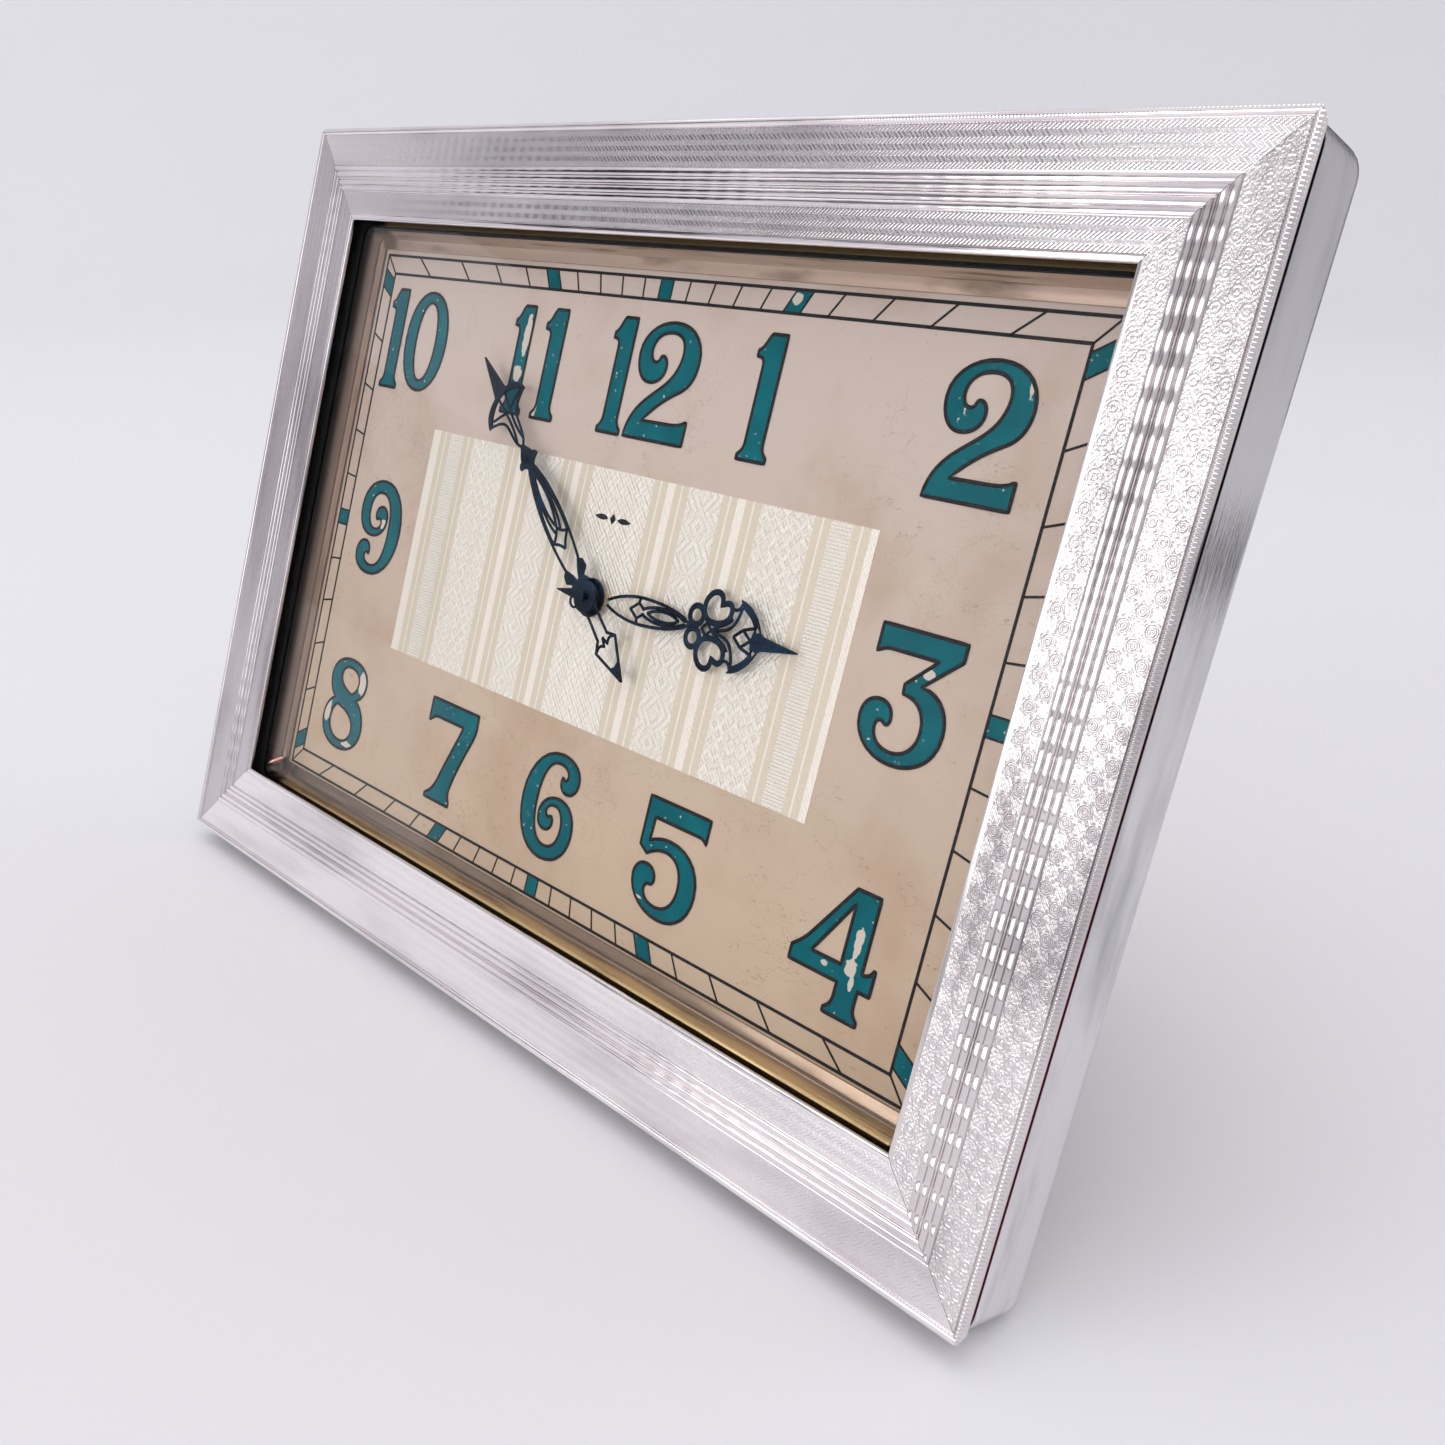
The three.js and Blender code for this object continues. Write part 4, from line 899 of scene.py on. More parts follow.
NINE_TURN = Matrix(((-1, 0), (0, -1)))
DIGITS = {
    "0": ["M 10.5 7.6 C 10.5 11.8 8.3 14.6 5.25 14.6 2.2 14.6 0.2 11.8 0.2 7.6 0.2 3.4 2.2 0.5 5.25 0.5 "
          "8.3 0.5 10.5 3.4 10.5 7.6 Z",
          "M 7.9 7.6 C 7.9 10.9 6.9 13.2 5.3 13.2 3.8 13.2 2.8 10.9 2.8 7.6 2.8 4.3 3.8 1.9 5.3 1.9 "
          "6.9 1.9 7.9 4.3 7.9 7.6 Z"],
    "1": ["M 1.75 14.6 L 4.1 14.6 4.1 2.4 C 4.1 1.5 4.4 1.2 4.95 0.8 L 4.95 0.25 0.45 0.25 0.45 0.8 "
          "C 1 1.2 1.3 1.5 1.3 2.4 L 1.3 10.9 C 1.3 11.8 0.9 12 0.15 12 L 0.15 12.7 "
          "C 1 12.9 1.2 14.2 1.75 14.6 Z"],
    "2": ["M 4.3 10.5 C 4.9 10.6 5.4 10 5.4 9.2 5.4 8 4.3 7.2 2.9 7.2 1.2 7.2 0.2 8.8 0.2 10.6 "
          "0.2 12.9 2.6 14.6 5.6 14.6 8.8 14.6 10.9 12.8 10.9 10.3 10.9 8.4 10.1 7.2 8.6 6.5 "
          "6.7 5.6 4.8 4.4 3 2.5 L 8.4 2.55 C 9.5 2.6 10.3 2.8 10.7 3.1 L 11 3.1 11 0.3 0.2 0.3 "
          "C 0.4 2.3 1.3 3.8 3 5.1 4.8 6.5 6.7 7.4 7.5 9.2 8.2 10.8 8 12 7.4 12.7 "
          "6.8 13.3 5.9 13.5 4.9 13.4 3.2 13.3 2.3 12.2 2.3 11.1 2.3 10.1 2.9 9.6 3.5 9.7 "
          "4.1 9.8 3.9 10.4 4.3 10.5 Z"],
    "3": ["M 0.35 14.5 L 11.1 14.5 11.1 12.7 6.9 9.1 C 9.4 9 10.9 7.3 10.9 4.9 10.9 2.1 8.6 0.4 5.6 0.4 "
          "2.5 0.4 0.2 2.3 0.2 4.5 0.2 5.9 1.1 6.7 2.3 6.7 3.5 6.7 4.2 5.9 4.2 5 4.2 4.5 4 4.3 3.8 4.3 "
          "3.4 4.3 3.3 4.7 2.9 4.6 2.5 4.5 2.3 4.1 2.4 3.5 2.6 2.3 3.7 1.6 5.2 1.6 7.1 1.6 8.2 3 8.2 4.6 "
          "8.2 6.5 7 7.9 4.95 7.9 L 4.85 8.9 8.3 12.1 2.2 12.1 C 1.4 12.1 0.9 11.8 0.35 11.5 L 0.35 14.5 "
          "Z"],
    "4": ["M 7 14.3 L 10.2 14.3 10.2 5.9 C 10.9 5.9 11.4 6.2 11.6 6.8 L 11.8 6.8 11.8 4 10.2 4 10.2 2.4 "
          "C 10.2 1.5 10.5 1.2 11 0.8 L 11 0.3 6.4 0.3 6.4 0.8 C 7 1.2 7.35 1.6 7.35 2.5 L 7.35 4 0.3 4 "
          "0.3 5.6 C 1.1 6.2 1.9 6.9 2.5 7.8 L 7 14.3 Z",
          "M 7.3 12.8 L 3.1 6.1 3.2 5.95 7.3 5.95 7.3 12.8 Z"],
    "5": ["M 0.3 14.4 L 10.8 14.4 10.8 11.5 C 10.4 12 10 12.1 9.4 12.1 L 1.8 12.1 1.7 9.1 "
          "C 2.8 9.7 3.9 10 5.2 10 8.5 10 10.9 8 10.9 5 10.9 2.1 8.8 0.4 6 0.4 2.7 0.4 0.2 2.3 0.2 4.5 "
          "0.2 5.6 1 6.3 2.1 6.3 3.2 6.3 3.9 5.6 3.9 4.8 3.9 4.4 3.7 4.1 3.3 4.1 3 4.1 2.8 4.1 2.6 3.8 "
          "2.2 3.1 2.8 1.7 5 1.7 7 1.7 8.1 3.1 8.1 5 8.1 7.2 6.8 8.6 4.9 8.6 3.6 8.6 2.5 8.1 1.7 7.5 "
          "L 0.3 8.3 0.3 14.4 Z"],
    "6": ["M 7.2 11.5 C 6.9 10.5 7.6 9.7 8.6 9.7 9.8 9.7 10.5 10.6 10.5 11.7 10.5 13.3 8.8 14.4 6.4 14.4 "
          "2.7 14.4 0.2 11.2 0.2 7.4 0.2 3.4 2.5 0.4 6 0.4 9.2 0.4 11.1 2.3 11.1 4.9 "
          "11.1 7.3 9.6 8.7 7.5 8.7 5.3 8.7 4 7.4 4 6 4 4.9 4.6 4.2 5.6 4.2 6.6 4.2 7.1 4.9 7 5.6 "
          "6.9 6.1 6.6 6.2 6.4 6.1 6.1 5.9 5.9 5.9 5.6 6.1 5.1 6.6 5.5 7.7 6.9 7.7 8.2 7.7 8.9 6.5 8.9 5 "
          "8.9 3.2 7.9 2.1 6.3 2.1 4.1 2.1 3.1 4.4 3.1 7.5 3.1 10.7 4 13.2 6.2 13.2 "
          "7.5 13.2 8.3 12.6 8.3 12 8.3 11.5 8 11.2 7.7 11.3 7.5 11.4 7.4 11.6 7.2 11.5 Z"],
    "7": ["M 0.3 14.4 L 11.4 14.4 11.5 12.4 C 11.4 11.2 10.8 10.2 10.2 8.9 9.3 6.8 8.5 4.9 8.1 3.2 "
          "7.8 2.2 8 1.6 8.5 1 L 8.5 0.4 2.6 0.4 2.6 0.9 C 3.7 1.4 4.5 2.3 5 3.6 5.8 5.8 7.3 8.9 8.4 11.7 "
          "L 8.4 12 2.2 12 C 1.4 11.9 0.9 11.5 0.5 11.2 L 0.3 11.2 0.3 14.4 Z"],
    "8": ["M 5.4 14.4 C 8.4 14.4 10.4 13.2 10.4 11.4 10.4 10 9.6 9.2 8.2 8.6 10 7.9 11.1 6.3 11.1 4.5 "
          "11.1 2.1 8.8 0.5 5.5 0.5 2.2 0.5 0.2 2.2 0.2 4.4 0.2 6.2 1.2 7.2 2.5 7.9 "
          "1.2 8.6 0.6 9.8 0.6 11.1 0.6 13.1 2.6 14.4 5.4 14.4 Z",
          "M 5.5 13.2 C 7.2 13.2 8.3 12.4 8.3 11.3 8.3 10.4 7.7 9.5 6.7 9.2 4.5 9.7 3.3 10.5 3.3 11.6 "
          "3.3 12.7 4.1 13.2 5.5 13.2 Z",
          "M 3.5 7.1 C 2.6 6.6 2.1 5.7 2.1 4.5 2.1 2.8 3.7 1.7 5.6 1.7 7.4 1.7 8.5 2.7 8.5 3.9 "
          "8.5 5.7 6.6 6.7 3.5 7.1 Z"],
}
# The width that each digit is drawn at.
DIGIT_SIZE = {
    "0": 10.7, "1": 5.1, "2": 11.2, "3": 11.3, "4": 12.0, "5": 11.1, "6": 11.3, "7": 11.7, "8": 11.3,
}
DIGIT_HEIGHT = 14.8
OUTLINE_WIDTH = 0.46
PRINT_GAP = 0.002

# Each hour's digits, as the left edge and width of each, and the level that the hour stands on.
TOP_ROW, MIDDLE_ROW, LOW_ROW = 19.8, -7.9, -35.4
HOURS = {
    "12": ([("1", -7.35, 4.9), ("2", -1.9, 11.3)], TOP_ROW),
    "1": ([("1", 18.25, 5.2)], TOP_ROW),
    "2": ([("2", 45.9, 11.3)], TOP_ROW),
    "3": ([("3", 45.4, 11.5)], MIDDLE_ROW),
    "4": ([("4", 44.3, 12.1)], LOW_ROW),
    "5": ([("5", 17.9, 11.1)], LOW_ROW),
    "6": ([("6", -5.5, 11.3)], LOW_ROW),
    "7": ([("7", -29.4, 11.7)], LOW_ROW),
    "8": ([("8", -56.9, 11.3)], LOW_ROW),
    "9": ([("9", -57.3, 11.5)], MIDDLE_ROW),
    "10": ([("1", -59.6, 4.9), ("0", -54.4, 10.7)], TOP_ROW + 0.3),
    "11": ([("1", -28.3, 4.9), ("1", -21.5, 5.2)], TOP_ROW),
}


def digit_placing(digit, left, width, level):
    """A digit's paths with the stretch and move that put it on the dial. A nine is a six turned over."""
    drawing = "6" if digit == "9" else digit
    paths = DIGITS[drawing]
    change = Matrix(((width / DIGIT_SIZE[drawing], 0), (0, 1)))
    if digit != "9":
        return paths, change, (left, level)
    return paths, change @ NINE_TURN, (left + width, level + DIGIT_HEIGHT)


def build_numerals():
    """Each hour as a thin enamel fill inside a raised black outline."""
    front = DIAL["front"]
    back = front - PRINT_GAP
    for hour, (digits, level) in HOURS.items():
        fills = []
        outlines = []
        for digit, left, width in digits:
            paths, change, shift = digit_placing(digit, left, width, level)
            fills.append(plate(paths, front - 0.07, back, change=change, shift=shift))
            outlines.append(wires(paths, OUTLINE_WIDTH, front - 0.12, back, change=change, shift=shift))
        piece(f"numeral_{hour}_enamel", joined(*fills), ENAMEL)
        piece(f"numeral_{hour}_outline", joined(*outlines), INK)


TRACK = {"inner": (60.93, 37.35), "wide": 2.65, "block": 1.12}
LINE = {"frame": 0.38, "minute": 0.27, "edge": 0.26}


def radial(angle, half_width, half_height):
    """Where a line from the dial's middle at an angle from twelve crosses a rectangle."""
    turn = math.radians(90 - angle)
    direction = Vector((math.cos(turn), math.sin(turn)))
    tiny = 1e-9
    to_side = half_width / max(abs(direction.x), tiny)
    to_end = half_height / max(abs(direction.y), tiny)
    return direction * min(to_side, to_end)


def sheet_of(quads, front, back):
    """Flat four-cornered patches between two depths."""
    bm = bmesh.new()
    for corners in quads:
        low = [bm.verts.new((x + DIAL["x"], front, z + DIAL["z"])) for x, z in corners]
        high = [bm.verts.new((x + DIAL["x"], back, z + DIAL["z"])) for x, z in corners]
        bm.faces.new(low)
        bm.faces.new(list(reversed(high)))
        for i in range(4):
            j = (i + 1) % 4
            bm.faces.new((low[i], high[i], high[j], low[j]))
    return as_mesh(bm)


def line(start, end, width):
    """The corners of a straight ruled line."""
    side = (end - start).orthogonal().normalized() * width / 2
    return [start + side, end + side, end - side, start - side]


def frame_lines(half_width, half_height, width):
    """Four ruled lines round a rectangle, each long enough to close its corners."""
    signs = ((-1, -1), (1, -1), (1, 1), (-1, 1))
    corners = [Vector((x * half_width, z * half_height)) for x, z in signs]
    lines = []
    for start, end in zip(corners, corners[1:] + corners[:1]):
        reach = (end - start).normalized() * width / 2
        lines.append(line(start - reach, end + reach, width))
    return lines


def build_track():
    """The minute track: two ruled rectangles, a mark at each minute and a teal block at each hour."""
    inner = TRACK["inner"]
    outer = inner[0] + TRACK["wide"], inner[1] + TRACK["wide"]
    front = DIAL["front"]
    marks = frame_lines(*inner, LINE["frame"]) + frame_lines(*outer, LINE["frame"])
    blocks = []
    for minute in range(60):
        start, end = radial(6 * minute, *inner), radial(6 * minute, *outer)
        if minute % 5:
            marks.append(line(start, end, LINE["minute"]))
            continue
        along = Vector((0, 1)) if abs(start.x) > inner[0] - 0.01 else Vector((1, 0))
        lean = abs((end - start).normalized().dot(along))
        half = along * TRACK["block"] / math.sqrt(1 - lean ** 2)
        blocks.append([start - half, end - half, end + half, start + half])
        marks += [line(start + side * half, end + side * half, LINE["edge"]) for side in (-1, 1)]
    for x, z in ((1, 1), (1, -1), (-1, 1), (-1, -1)):
        corner = [Vector((x * half[0], z * half[1])) for half in (inner, outer)]
        marks.append(line(*corner, LINE["edge"]))
    lines = sheet_of(marks, front - 0.03, front - PRINT_GAP)
    piece("minute_track_lines", lines, INK, sharp=20)
    fills = sheet_of(blocks, front - 0.02, front - 0.001)
    piece("minute_track_blocks", fills, ENAMEL, sharp=20)


def build_panel():
    """The striped middle panel, a shade off the dial's middle."""
    low, high = Vector((-42.5, -16.45)), Vector((41.8, 16.15))
    corners = [low, Vector((high.x, low.y)), high, Vector((low.x, high.y))]
    mesh = sheet_of([corners], DIAL["front"] - 0.05, DIAL["front"] - 0.001)
    piece("dial_panel", mesh, striped_panel(), sharp=20)


def build_ornaments():
    """Plain printed devices in the two places where such dials carry words."""
    front = DIAL["front"]
    diamond = "M 0 -0.7 L 0.55 0 L 0 0.7 L -0.55 0 L 0 -0.7 Z"
    leaf = "M 0.9 0 C 1.6 0.55 2.6 0.4 3.5 0 C 2.6 -0.4 1.6 -0.55 0.9 0 Z"
    other_leaf = "M -0.9 0 C -1.6 0.55 -2.6 0.4 -3.5 0 C -2.6 -0.4 -1.6 -0.55 -0.9 0 Z"
    paths = [diamond, leaf, other_leaf]
    edge = 0.008
    small = Matrix.Scale(0.42, 2)
    upper = plate(paths, front - 0.09, front - 0.05, edge, shift=(0.1, 9.7))
    lower = plate(paths, front - 0.03, front - 0.001, edge, shift=(0.3, -41.4), change=small)
    piece("dial_ornaments", joined(upper, lower), INK)


# ---------------------------------------------------------------- hands


def minute_hand_parts(front, back):
    hub = ["M 1.4 1.9 C 2 1.7 2.4 1.3 2.7 1.2 L 3.5 2.1 4.7 1.95 5.3 1.25 3.9 0.55 2.3 0 1.4 -0.2 Z"]
    knot = ["M 21.2 0 L 21.3 0.55 C 22 0.7 22.3 1.2 22.4 1.85 23 2 23.3 1.6 23.4 1.2 "
            "24 1.1 24.6 0.6 25.4 0.25 L 25.4 0 Z"]
    wing = ["M 31.8 4.3 C 33.7 4 34.3 2.9 34.8 1.2 L 41.4 0.1 41.4 0 34.2 0 34.1 1 "
            "C 33.6 2.2 33 3 31.9 3.6 L 31.8 4.3 Z"]
    tail = ["M -13.2 0 L -13.2 0.08 -10.6 0.75 -10.9 0 Z"]
    solid = mirrored([*hub, *knot, *wing, *tail])
    lines = mirrored([
        "M 4.6 1.3 C 8 1.85 12 2 15 1.75 18 1.5 20 1 21.6 0.5",
        "M 9.6 1.55 C 13 2 18 1.1 21.4 0.35", "M 7.8 0 C 8.5 0.4 9.2 0.8 9.7 1.6 9.9 0.9 10.5 0.4 11.2 0",
        "M 10.4 0.45 C 13 1.35 18 1.1 21.2 0", "M 11.4 0 C 13.6 0.85 17.8 0.85 20.4 0",
        "M 25.2 0.15 C 26.4 1.2 28.4 0.85 29.7 1.15 31 1.5 31.5 2.8 32 4.1",
        "M 26.4 0.6 C 27.8 0.3 29.6 0.25 31.4 0.45 31.9 1.4 32.1 2.6 32.3 3", "M 31.4 0.45 L 34 0.7",
        "M -1.6 0.95 C -3.4 0.8 -5 0.95 -6.3 0.95 L -7.5 2 -13 0.05",
        "M -7.4 1.8 C -6.9 1.1 -7.1 0.7 -7.6 0.35 L -6.4 0",
    ])
    return [plate([circle(0, 0, 2.05), circle(0, 0, 0.62)], front - 0.08, back, 0.04),
            plate(solid, front, back, 0.03), wires(lines, 0.42, front, back)]


def hour_hand_parts(front, back):
    tip = ["M 29 1.9 C 29.6 1.3 29.8 1.05 30.2 0.85 L 35.6 0.1 35.6 0 28.4 0 28.6 0.8 Z"]
    crescent = ["M 25.8 4.3 C 27.2 4.2 28.9 3 29.7 1.2 L 29 0.9 C 28.5 2 27.6 2.8 26.4 3.3 L 25.8 4.3 Z"]
    tail = ["M -6.7 0 L -6.7 0.08 -4.2 0.5 -2.2 0.75 -2.2 0 Z"]
    solid = mirrored([*tip, *crescent, *tail])
    lines = mirrored([
        "M 3.4 0.35 C 6 1.55 9 1.75 11 1.6 14 1.5 16 1.05 17.6 0.45",
        "M 7.7 0 L 9.1 0.95 10.2 0.25", "M 9.1 0.95 L 9.2 1.55", "M 9.9 0.3 C 12 1.25 15 1.2 17.5 0.2",
        "M 10.9 0 C 12.4 0.85 15 0.85 16.4 0",
        "M 17.6 0.35 C 18 0.1 18.6 0.1 19.6 0.25",
        "M 20.4 0 L 21.2 0.75 22 0", "M 22 0 C 23.4 0.25 24.6 0.4 25.2 1 25.8 1.7 26.1 2.6 26.2 3.6",
        "M 22 0 C 23.2 0.9 24.4 1 25.1 1.9", "M 25.7 0 L 27 1 28.4 0", "M 27 1 L 28.6 1.5",
        "M 24.5 3.3 C 25.1 2.7 25.9 3 26.1 3.8",
    ])
    loops = mirrored([
        circle(19.2, 1.35, 1.1),
        "M 21 4.2 C 19.6 3 20.2 1.2 21.6 0.95 22.9 0.75 24.8 1.2 24.7 2.8 24.6 3.7 23.7 3.7 22.9 3.1 "
        "23.2 4.2 22.2 5 21 4.2 Z",
    ])
    return [plate([circle(0, 0, 2.5), circle(0, 0, 1.2)], front, back, 0.04),
            plate(solid, front, back, 0.03), wires(lines, 0.42, front, back),
            wires(loops, 0.76, front, back),
            wires([circle(-2.9, 0.9, 0.85), circle(-2.9, -0.9, 0.85)], 0.35, front, back)]


def pointed(mesh, angle, at=MIDDLE):
    """A drawing along +x, turned to its angle from +x about a point of the dial's plane."""
    turn = Matrix.Rotation(-math.radians(angle), 4, "Y")
    mesh.transform(Matrix.Translation((at[0], 0, at[1])) @ turn)
    return mesh


# What the hands point at: minutes past, and hours as the photo's short hand has them.
MINUTES = 51.8
HOUR = 2.94


def build_hands():
    minute = pointed(joined(*minute_hand_parts(3.28, 3.56)), 90 - 6 * MINUTES)
    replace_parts(piece("minute_hand_pierced", minute, BLUED, "minute_works"), "minute_hand")
    hour = pointed(joined(*hour_hand_parts(4.13, 4.42)), 90 - 30 * HOUR)
    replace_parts(piece("hour_hand_pierced", hour, BLUED, "hour_works"), "hour_hand")


# ---------------------------------------------------------------- back


def drilled(mesh, *cutters):
    """The mesh with the cutters taken away."""
    body = linked("body", mesh)
    tool = linked("tool", joined(*cutters))
    modifier = body.modifiers.new("drill", "BOOLEAN")
    modifier.object = tool
    modifier.solver = "EXACT"
    depsgraph = bpy.context.evaluated_depsgraph_get()
    result = bpy.data.meshes.new_from_object(body.evaluated_get(depsgraph))
    for obj in (body, tool):
        bpy.data.objects.remove(obj)
    return result


def cylinder(radius, front, back, at, sides=40):
    return lathe([(0, front), (radius, front), (radius, back), (0, back)], at, sides)


REGULATOR = {"inner": 6.3, "outer": 8.1, "sweep": 28}
COVER_SCREWS = [polar(MIDDLE, 25.4, degrees) for degrees in (60, 180, 300)]
STRAIGHT_DOWN = 270


def regulator_slot():
    """The path of a curved slot below the balance."""
    reach = REGULATOR["sweep"]
    sweep = range(-reach, reach + 1, 4)
    outer = [polar(BALANCE, REGULATOR["outer"], STRAIGHT_DOWN + degrees) for degrees in sweep]
    inner = [polar(BALANCE, REGULATOR["inner"], STRAIGHT_DOWN + degrees) for degrees in reversed(sweep)]
    return polyline(outer + inner, True)


def build_cover():
    """The drum over the movement, with its regulator slot, arbor holes and screw holes."""
    profile = [(0, 25.3), (22.0, 25.3), *arc((22.0, 24.5), 0.8, 90, 0, 4), (22.8, 12.8), (26.6, 12.8),
               (26.8, 13.0), (26.8, 13.6), (26.6, 13.8), *arc((24.4, 14.2), 0.4, 270, 180, 3),
               *arc((22.4, 24.9), 1.6, 0, 90, 8), (14.2, 26.5), (14.0, 26.38), (13.6, 26.38), (13.4, 26.5),
               (0, 26.5)]
    mesh = drilled(lathe(profile, MIDDLE, 128), plate([regulator_slot()], 23, 29, 0.0001),
                   cylinder(0.9, 23, 29, MIDDLE), cylinder(1.8, 23, 29, BARREL),
                   *[cylinder(0.95, 11, 20, at, 24) for at in COVER_SCREWS])
    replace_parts(piece("movement_cover_spun", mesh, BRASS), "movement_cover")


def build_cover_marks():
    """Printed marks: a scale from minus to plus at the regulator, and the way that the key winds."""
    marks = []
    for degrees in range(-24, 25, 6):
        far = 10.4 if degrees % 24 == 0 else 9.8
        marks.append(polyline([polar(BALANCE, radius, STRAIGHT_DOWN + degrees) for radius in (8.9, far)]))
    left, right, level = BALANCE[0] - 6.4, BALANCE[0] + 6.4, BALANCE[1] - 8.2
    arm = 0.7
    marks += [polyline([(x - arm, level), (x + arm, level)]) for x in (left, right)]
    marks.append(polyline([(right, level - arm), (right, level + arm)]))
    bow = [polar(BARREL, 7, degrees) for degrees in range(40, 150, 5)]
    x, z = bow[-1]
    marks += [polyline(bow), polyline([(x + 0.2, z + 1.4), (x, z), (x + 1.5, z + 0.4)])]
    piece("cover_marks", wires(marks, 0.26, 26.46, 26.54), INK)


KEY_TURN = 215


def build_key():
    """A folding winding key: a turned hub and a bow with a round grip hole."""
    hub = lathe([(0, 26.9), (2.2, 26.9), (2.6, 27.2), (2.6, 28.0), (2.45, 28.1), (2.45, 28.3), (2.6, 28.4),
                 (2.6, 30.4), *arc((2.0, 30.4), 0.6, 0, 90, 5), (0, 31.0)], BARREL, 48)
    hub = drilled(hub, cylinder(1.4, 26, 27.0, BARREL, 24))
    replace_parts(piece("key_hub_turned", hub, BRASS, "winding"), "key_hub")

    paths = ["M -1.3 -5.2 L 5.6 -5.2 C 8.8 -5.2 11 -2.9 11 0 11 2.9 8.8 5.2 5.6 5.2 "
             "L -1.3 5.2 -1.3 3.1 3 3.1 C 3.7 3.1 4 2.8 4 2.2 L 4 -2.2 C 4 -2.8 3.7 -3.1 3 -3.1 "
             "L -1.3 -3.1 -1.3 -5.2 Z", circle(7.1, 0, 2)]
    mesh = pointed(plate(paths, 28.9, 30.3, 0.25), KEY_TURN, BARREL)
    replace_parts(piece("key_bow_pressed", mesh, BRASS, "key_bow"), "key_bow")


def build_knob():
    """The hand-setting knob, with a knurled edge and a dished back."""
    corners = 4 * 36
    rim = [polar(MIDDLE, 4.55 if i % 4 < 2 else 4.3, 360 * i / corners) for i in range(corners)]
    edge = plate([polyline(rim, True)], 27.0, 28.1, 0.05)
    face = lathe([(0, 26.9), (3.9, 26.9), (4.1, 27.05), (4.1, 28.1), (3.8, 28.3), (3.2, 28.3), (2.6, 28.2),
                  (0, 28.2)], MIDDLE, 64)
    obj = piece("setting_knob_knurled", joined(edge, face), BRASS, "minute_works")
    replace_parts(obj, "setting_knob")


# Half widths of the strut, and levels below its hinge.
STRUT_HALF = {"top": 32.6, "foot": 36.0, "window": 27.8}
STRUT_FOOT = 0.35 - STRUT_REACH
STITCHES = 33


def strut_outline():
    """The path of the board's edge, round at the two top corners."""
    top, foot = STRUT_HALF["top"], STRUT_HALF["foot"]
    return (f"M {-foot} {STRUT_FOOT} L {foot} {STRUT_FOOT} L {top} -6.2 "
            f"C {top} -4.2 {top - 1.4} -3.2 {top - 3} -3.2 L {3 - top} -3.2 "
            f"C {1.4 - top} -3.2 {-top} -4.2 {-top} -6.2 Z")


def strut_window():
    """The path of the board's window, with round corners."""
    half, low = STRUT_HALF["window"], 10 - STRUT_REACH
    return (f"M {-half} -16.2 C {-half} -12 {2 - half} -10.2 {6 - half} -10.2 L {half - 6} -10.2 "
            f"C {half - 2} -10.2 {half} -12 {half} -16.2 L {half} {low + 6} "
            f"C {half} {low + 2} {half - 2} {low} {half - 6} {low} L {6 - half} {low} "
            f"C {2 - half} {low} {-half} {low + 2} {-half} {low + 6} Z")


def build_strut():
    """The easel strut: a leather-covered board with a window."""
    board = plate([strut_outline(), strut_window()], -1.0, 1.0, 0.35)
    obj = piece("strut_board", board, LEATHER, "strut", STRUT)
    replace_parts(obj, "strut_leg")


def build_stitching():
    """A row of stitches down each side of the strut, on both of its faces."""
    stitches = []
    for side in (-1, 1):
        for face in (-1, 1):
            for i in range(STITCHES):
                share = i / (STITCHES - 1)
                z = -8.5 + (STRUT_FOOT + 11) * share
                x = side * (STRUT_HALF["top"] - 1.6 + (STRUT_HALF["foot"] - STRUT_HALF["top"]) * share)
                stitch = polyline([(x, z), (x, z - 1.45)])
                stitches.append(wires([stitch], 0.42, face - 0.13, face + 0.13))
    piece("strut_stitching", joined(*stitches), THREAD, "strut", STRUT)


def build_knuckles():
    """The strut's half of the hinge: two knuckles, each with a riveted leaf."""
    knuckles = []
    for side in (-1, 1):
        profile = [(0, 10), (2.2, 10), (2.5, 10.3), (2.5, 15.7), (2.2, 16), (0, 16)]
        knuckle = drilled(lathe(profile, (0, 0), 48), cylinder(1.45, 9, 17, (0, 0), 32))
        knuckle.transform(Matrix.Rotation(-side * math.pi / 2, 4, "Z"))
        corners = [(side * x, z) for x, z in ((10.2, -9.4), (15.8, -9.4), (15.8, -2.0), (10.2, -2.0))]
        leaf = plate([polyline(corners, True)], -1.25, 1.25, 0.1)
        rivet = lathe([(0, 1.2), (1.0, 1.2), (0.9, 1.5), (0.5, 1.7), (0, 1.75)], (side * 13, -6.6), 24)
        knuckles += [knuckle, leaf, rivet]
    piece("strut_knuckles", joined(*knuckles), PLATE, "strut", STRUT)


# ---------------------------------------------------------------- studio


FLOOR = {"flat": 0.9, "curve": 0.7, "top": 1.3}
CLOCK_MIDDLE = (0, 0, 0.05)


def build_floor():
    """A wide floor that curves up all round, so that there is no horizon from any side."""
    flat, curve = FLOOR["flat"], FLOOR["curve"]
    bend = [polar((flat, curve), curve, 7.5 * step - 90) for step in range(1, 13)]
    profile = [(0.0, 0.0), (flat, 0.0), *bend, (flat + curve, FLOOR["top"])]
    bm = bmesh.new()
    points = [bm.verts.new((radius, 0, z)) for radius, z in profile]
    edges = [bm.edges.new(pair) for pair in zip(points, points[1:])]
    bmesh.ops.spin(bm, geom=points + edges, cent=(0, 0, 0), axis=(0, 0, 1), angle=2 * math.pi, steps=96)
    bmesh.ops.remove_doubles(bm, verts=bm.verts, dist=1e-5)
    mesh = as_mesh(bm)
    mesh.shade_smooth()
    mesh.materials.append(paper_floor())
    floor = linked("floor", mesh)


def facing(at, target, axis):
    """The rotation that points an object's own axis from where it is at a target."""
    return (Vector(target) - Vector(at)).to_track_quat(axis, "Y").to_euler()


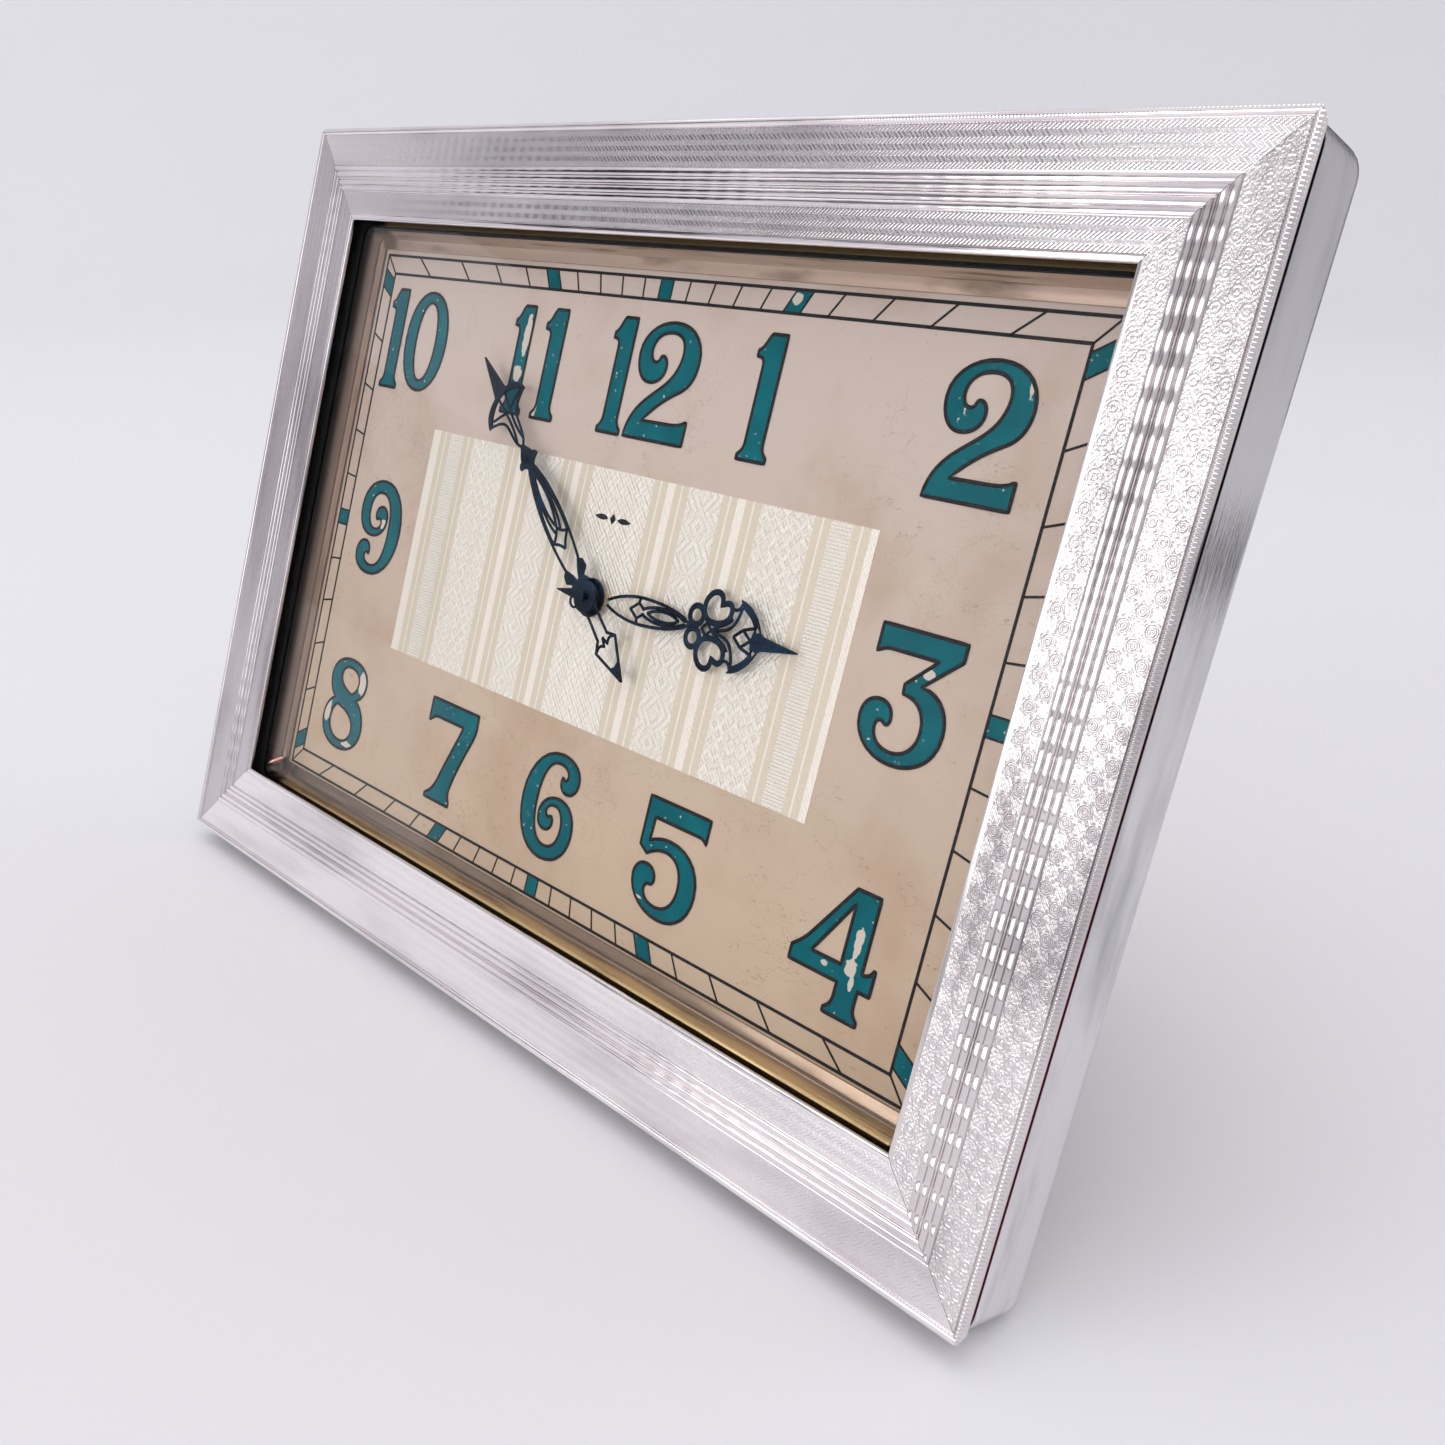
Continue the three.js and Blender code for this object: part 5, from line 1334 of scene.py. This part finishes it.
# Name, place in metres, size, power in watts and what the lamp faces.
LAMPS = (
    ("front_softbox", (-0.374, -0.881, 0.36), 0.46, 1.6, CLOCK_MIDDLE),
    ("top_softbox", (0.1, -0.2, 1.2), 1.0, 3.6, CLOCK_MIDDLE),
    ("back_fill", (0.7, 0.8, 0.8), 0.6, 1.2, CLOCK_MIDDLE),
    ("wall_wash", (-0.7, 0.0, 0.9), 0.4, 1.2, (-1.3, 0.4, 0.2)),
)


def lamp(name, at, size, power, target):
    """A square soft light."""
    light = bpy.data.lights.new(name, "AREA")
    light.size = size
    light.energy = power
    obj = linked(name, light)
    obj.location = at
    obj.rotation_euler = facing(at, target, "-Z")


# Name, place, width and height in metres, and how light a grey the card is, up to 255.
FLAGS = (
    ("top_flag", (-0.76, -0.51, 0.5), 0.2, 0.22, 5),
    ("left_flag", (-0.95, -0.5, 0.2), 0.3, 0.2, 150),
    ("high_flag", (-0.556, -0.575, 0.57), 0.24, 0.2, 110),
    ("rear_flag", (-0.08, 0.42, 0.08), 0.3, 0.24, 50),
    ("side_flag", (0.165, 0.19, 0.02), 0.1, 0.016, 5),
    ("low_flag", (-0.46, -0.86, 0.03), 0.5, 0.13, 90),
)


def flag(name, at, width, height, shade):
    """A grey card out of sight, which gives the bright metal something to reflect."""
    bm = bmesh.new()
    bmesh.ops.create_grid(bm, x_segments=1, y_segments=1, size=0.5)
    mesh = as_mesh(bm)
    paint = Paint(f"{name}_paint")
    darker, lighter = (shade, shade, shade), (shade + 12, shade + 9, shade + 12)
    paint.colour(paint.mix(paint.noise(60), darker, lighter))
    mesh.materials.append(paint.material)
    obj = linked(name, mesh)
    obj.scale = (width, height, 1)
    obj.location = at
    obj.rotation_euler = facing(at, CLOCK_MIDDLE, "Z")
    obj.visible_camera = False
    obj.visible_diffuse = False
    obj.visible_shadow = False


def build_studio():
    build_floor()
    for settings in LAMPS:
        lamp(*settings)
    for settings in FLAGS:
        flag(*settings)
    world = bpy.data.worlds.new("studio")
    world.use_nodes = True
    background = world.node_tree.nodes["Background"]
    background.inputs["Color"].default_value = (0.97, 0.96, 1.0, 1)
    background.inputs["Strength"].default_value = 0.79
    bpy.context.scene.world = world
    bpy.context.scene.view_settings.view_transform = "Standard"


def build_camera():
    """To the clock's right and above its middle, close to it, at the photograph's viewing angle."""
    camera = bpy.data.cameras.new("camera")
    camera.sensor_width = 36
    camera.lens = 35.38
    camera.shift_y = 0.0355
    camera.clip_start = 0.01
    azimuth, down, roll = (math.radians(angle) for angle in (46.4, 23.75, -0.34))
    turn = (Matrix.Rotation(azimuth, 4, "Z") @ Matrix.Rotation(math.pi / 2 - down, 4, "X")
            @ Matrix.Rotation(roll, 4, "Z"))
    obj = linked("camera", camera)
    obj.matrix_world = Matrix.Translation(Vector((137.3, -122.0, 106.0)) * MM) @ turn
    bpy.context.scene.camera = obj


build_camera()
finish_cad_nodes()
build_rails()
build_rim()
build_bezel()
build_tab()
build_panel()
build_numerals()
build_track()
build_ornaments()
build_hands()
build_cover()
build_cover_marks()
build_key()
build_knob()
build_strut()
build_stitching()
build_knuckles()
build_studio()
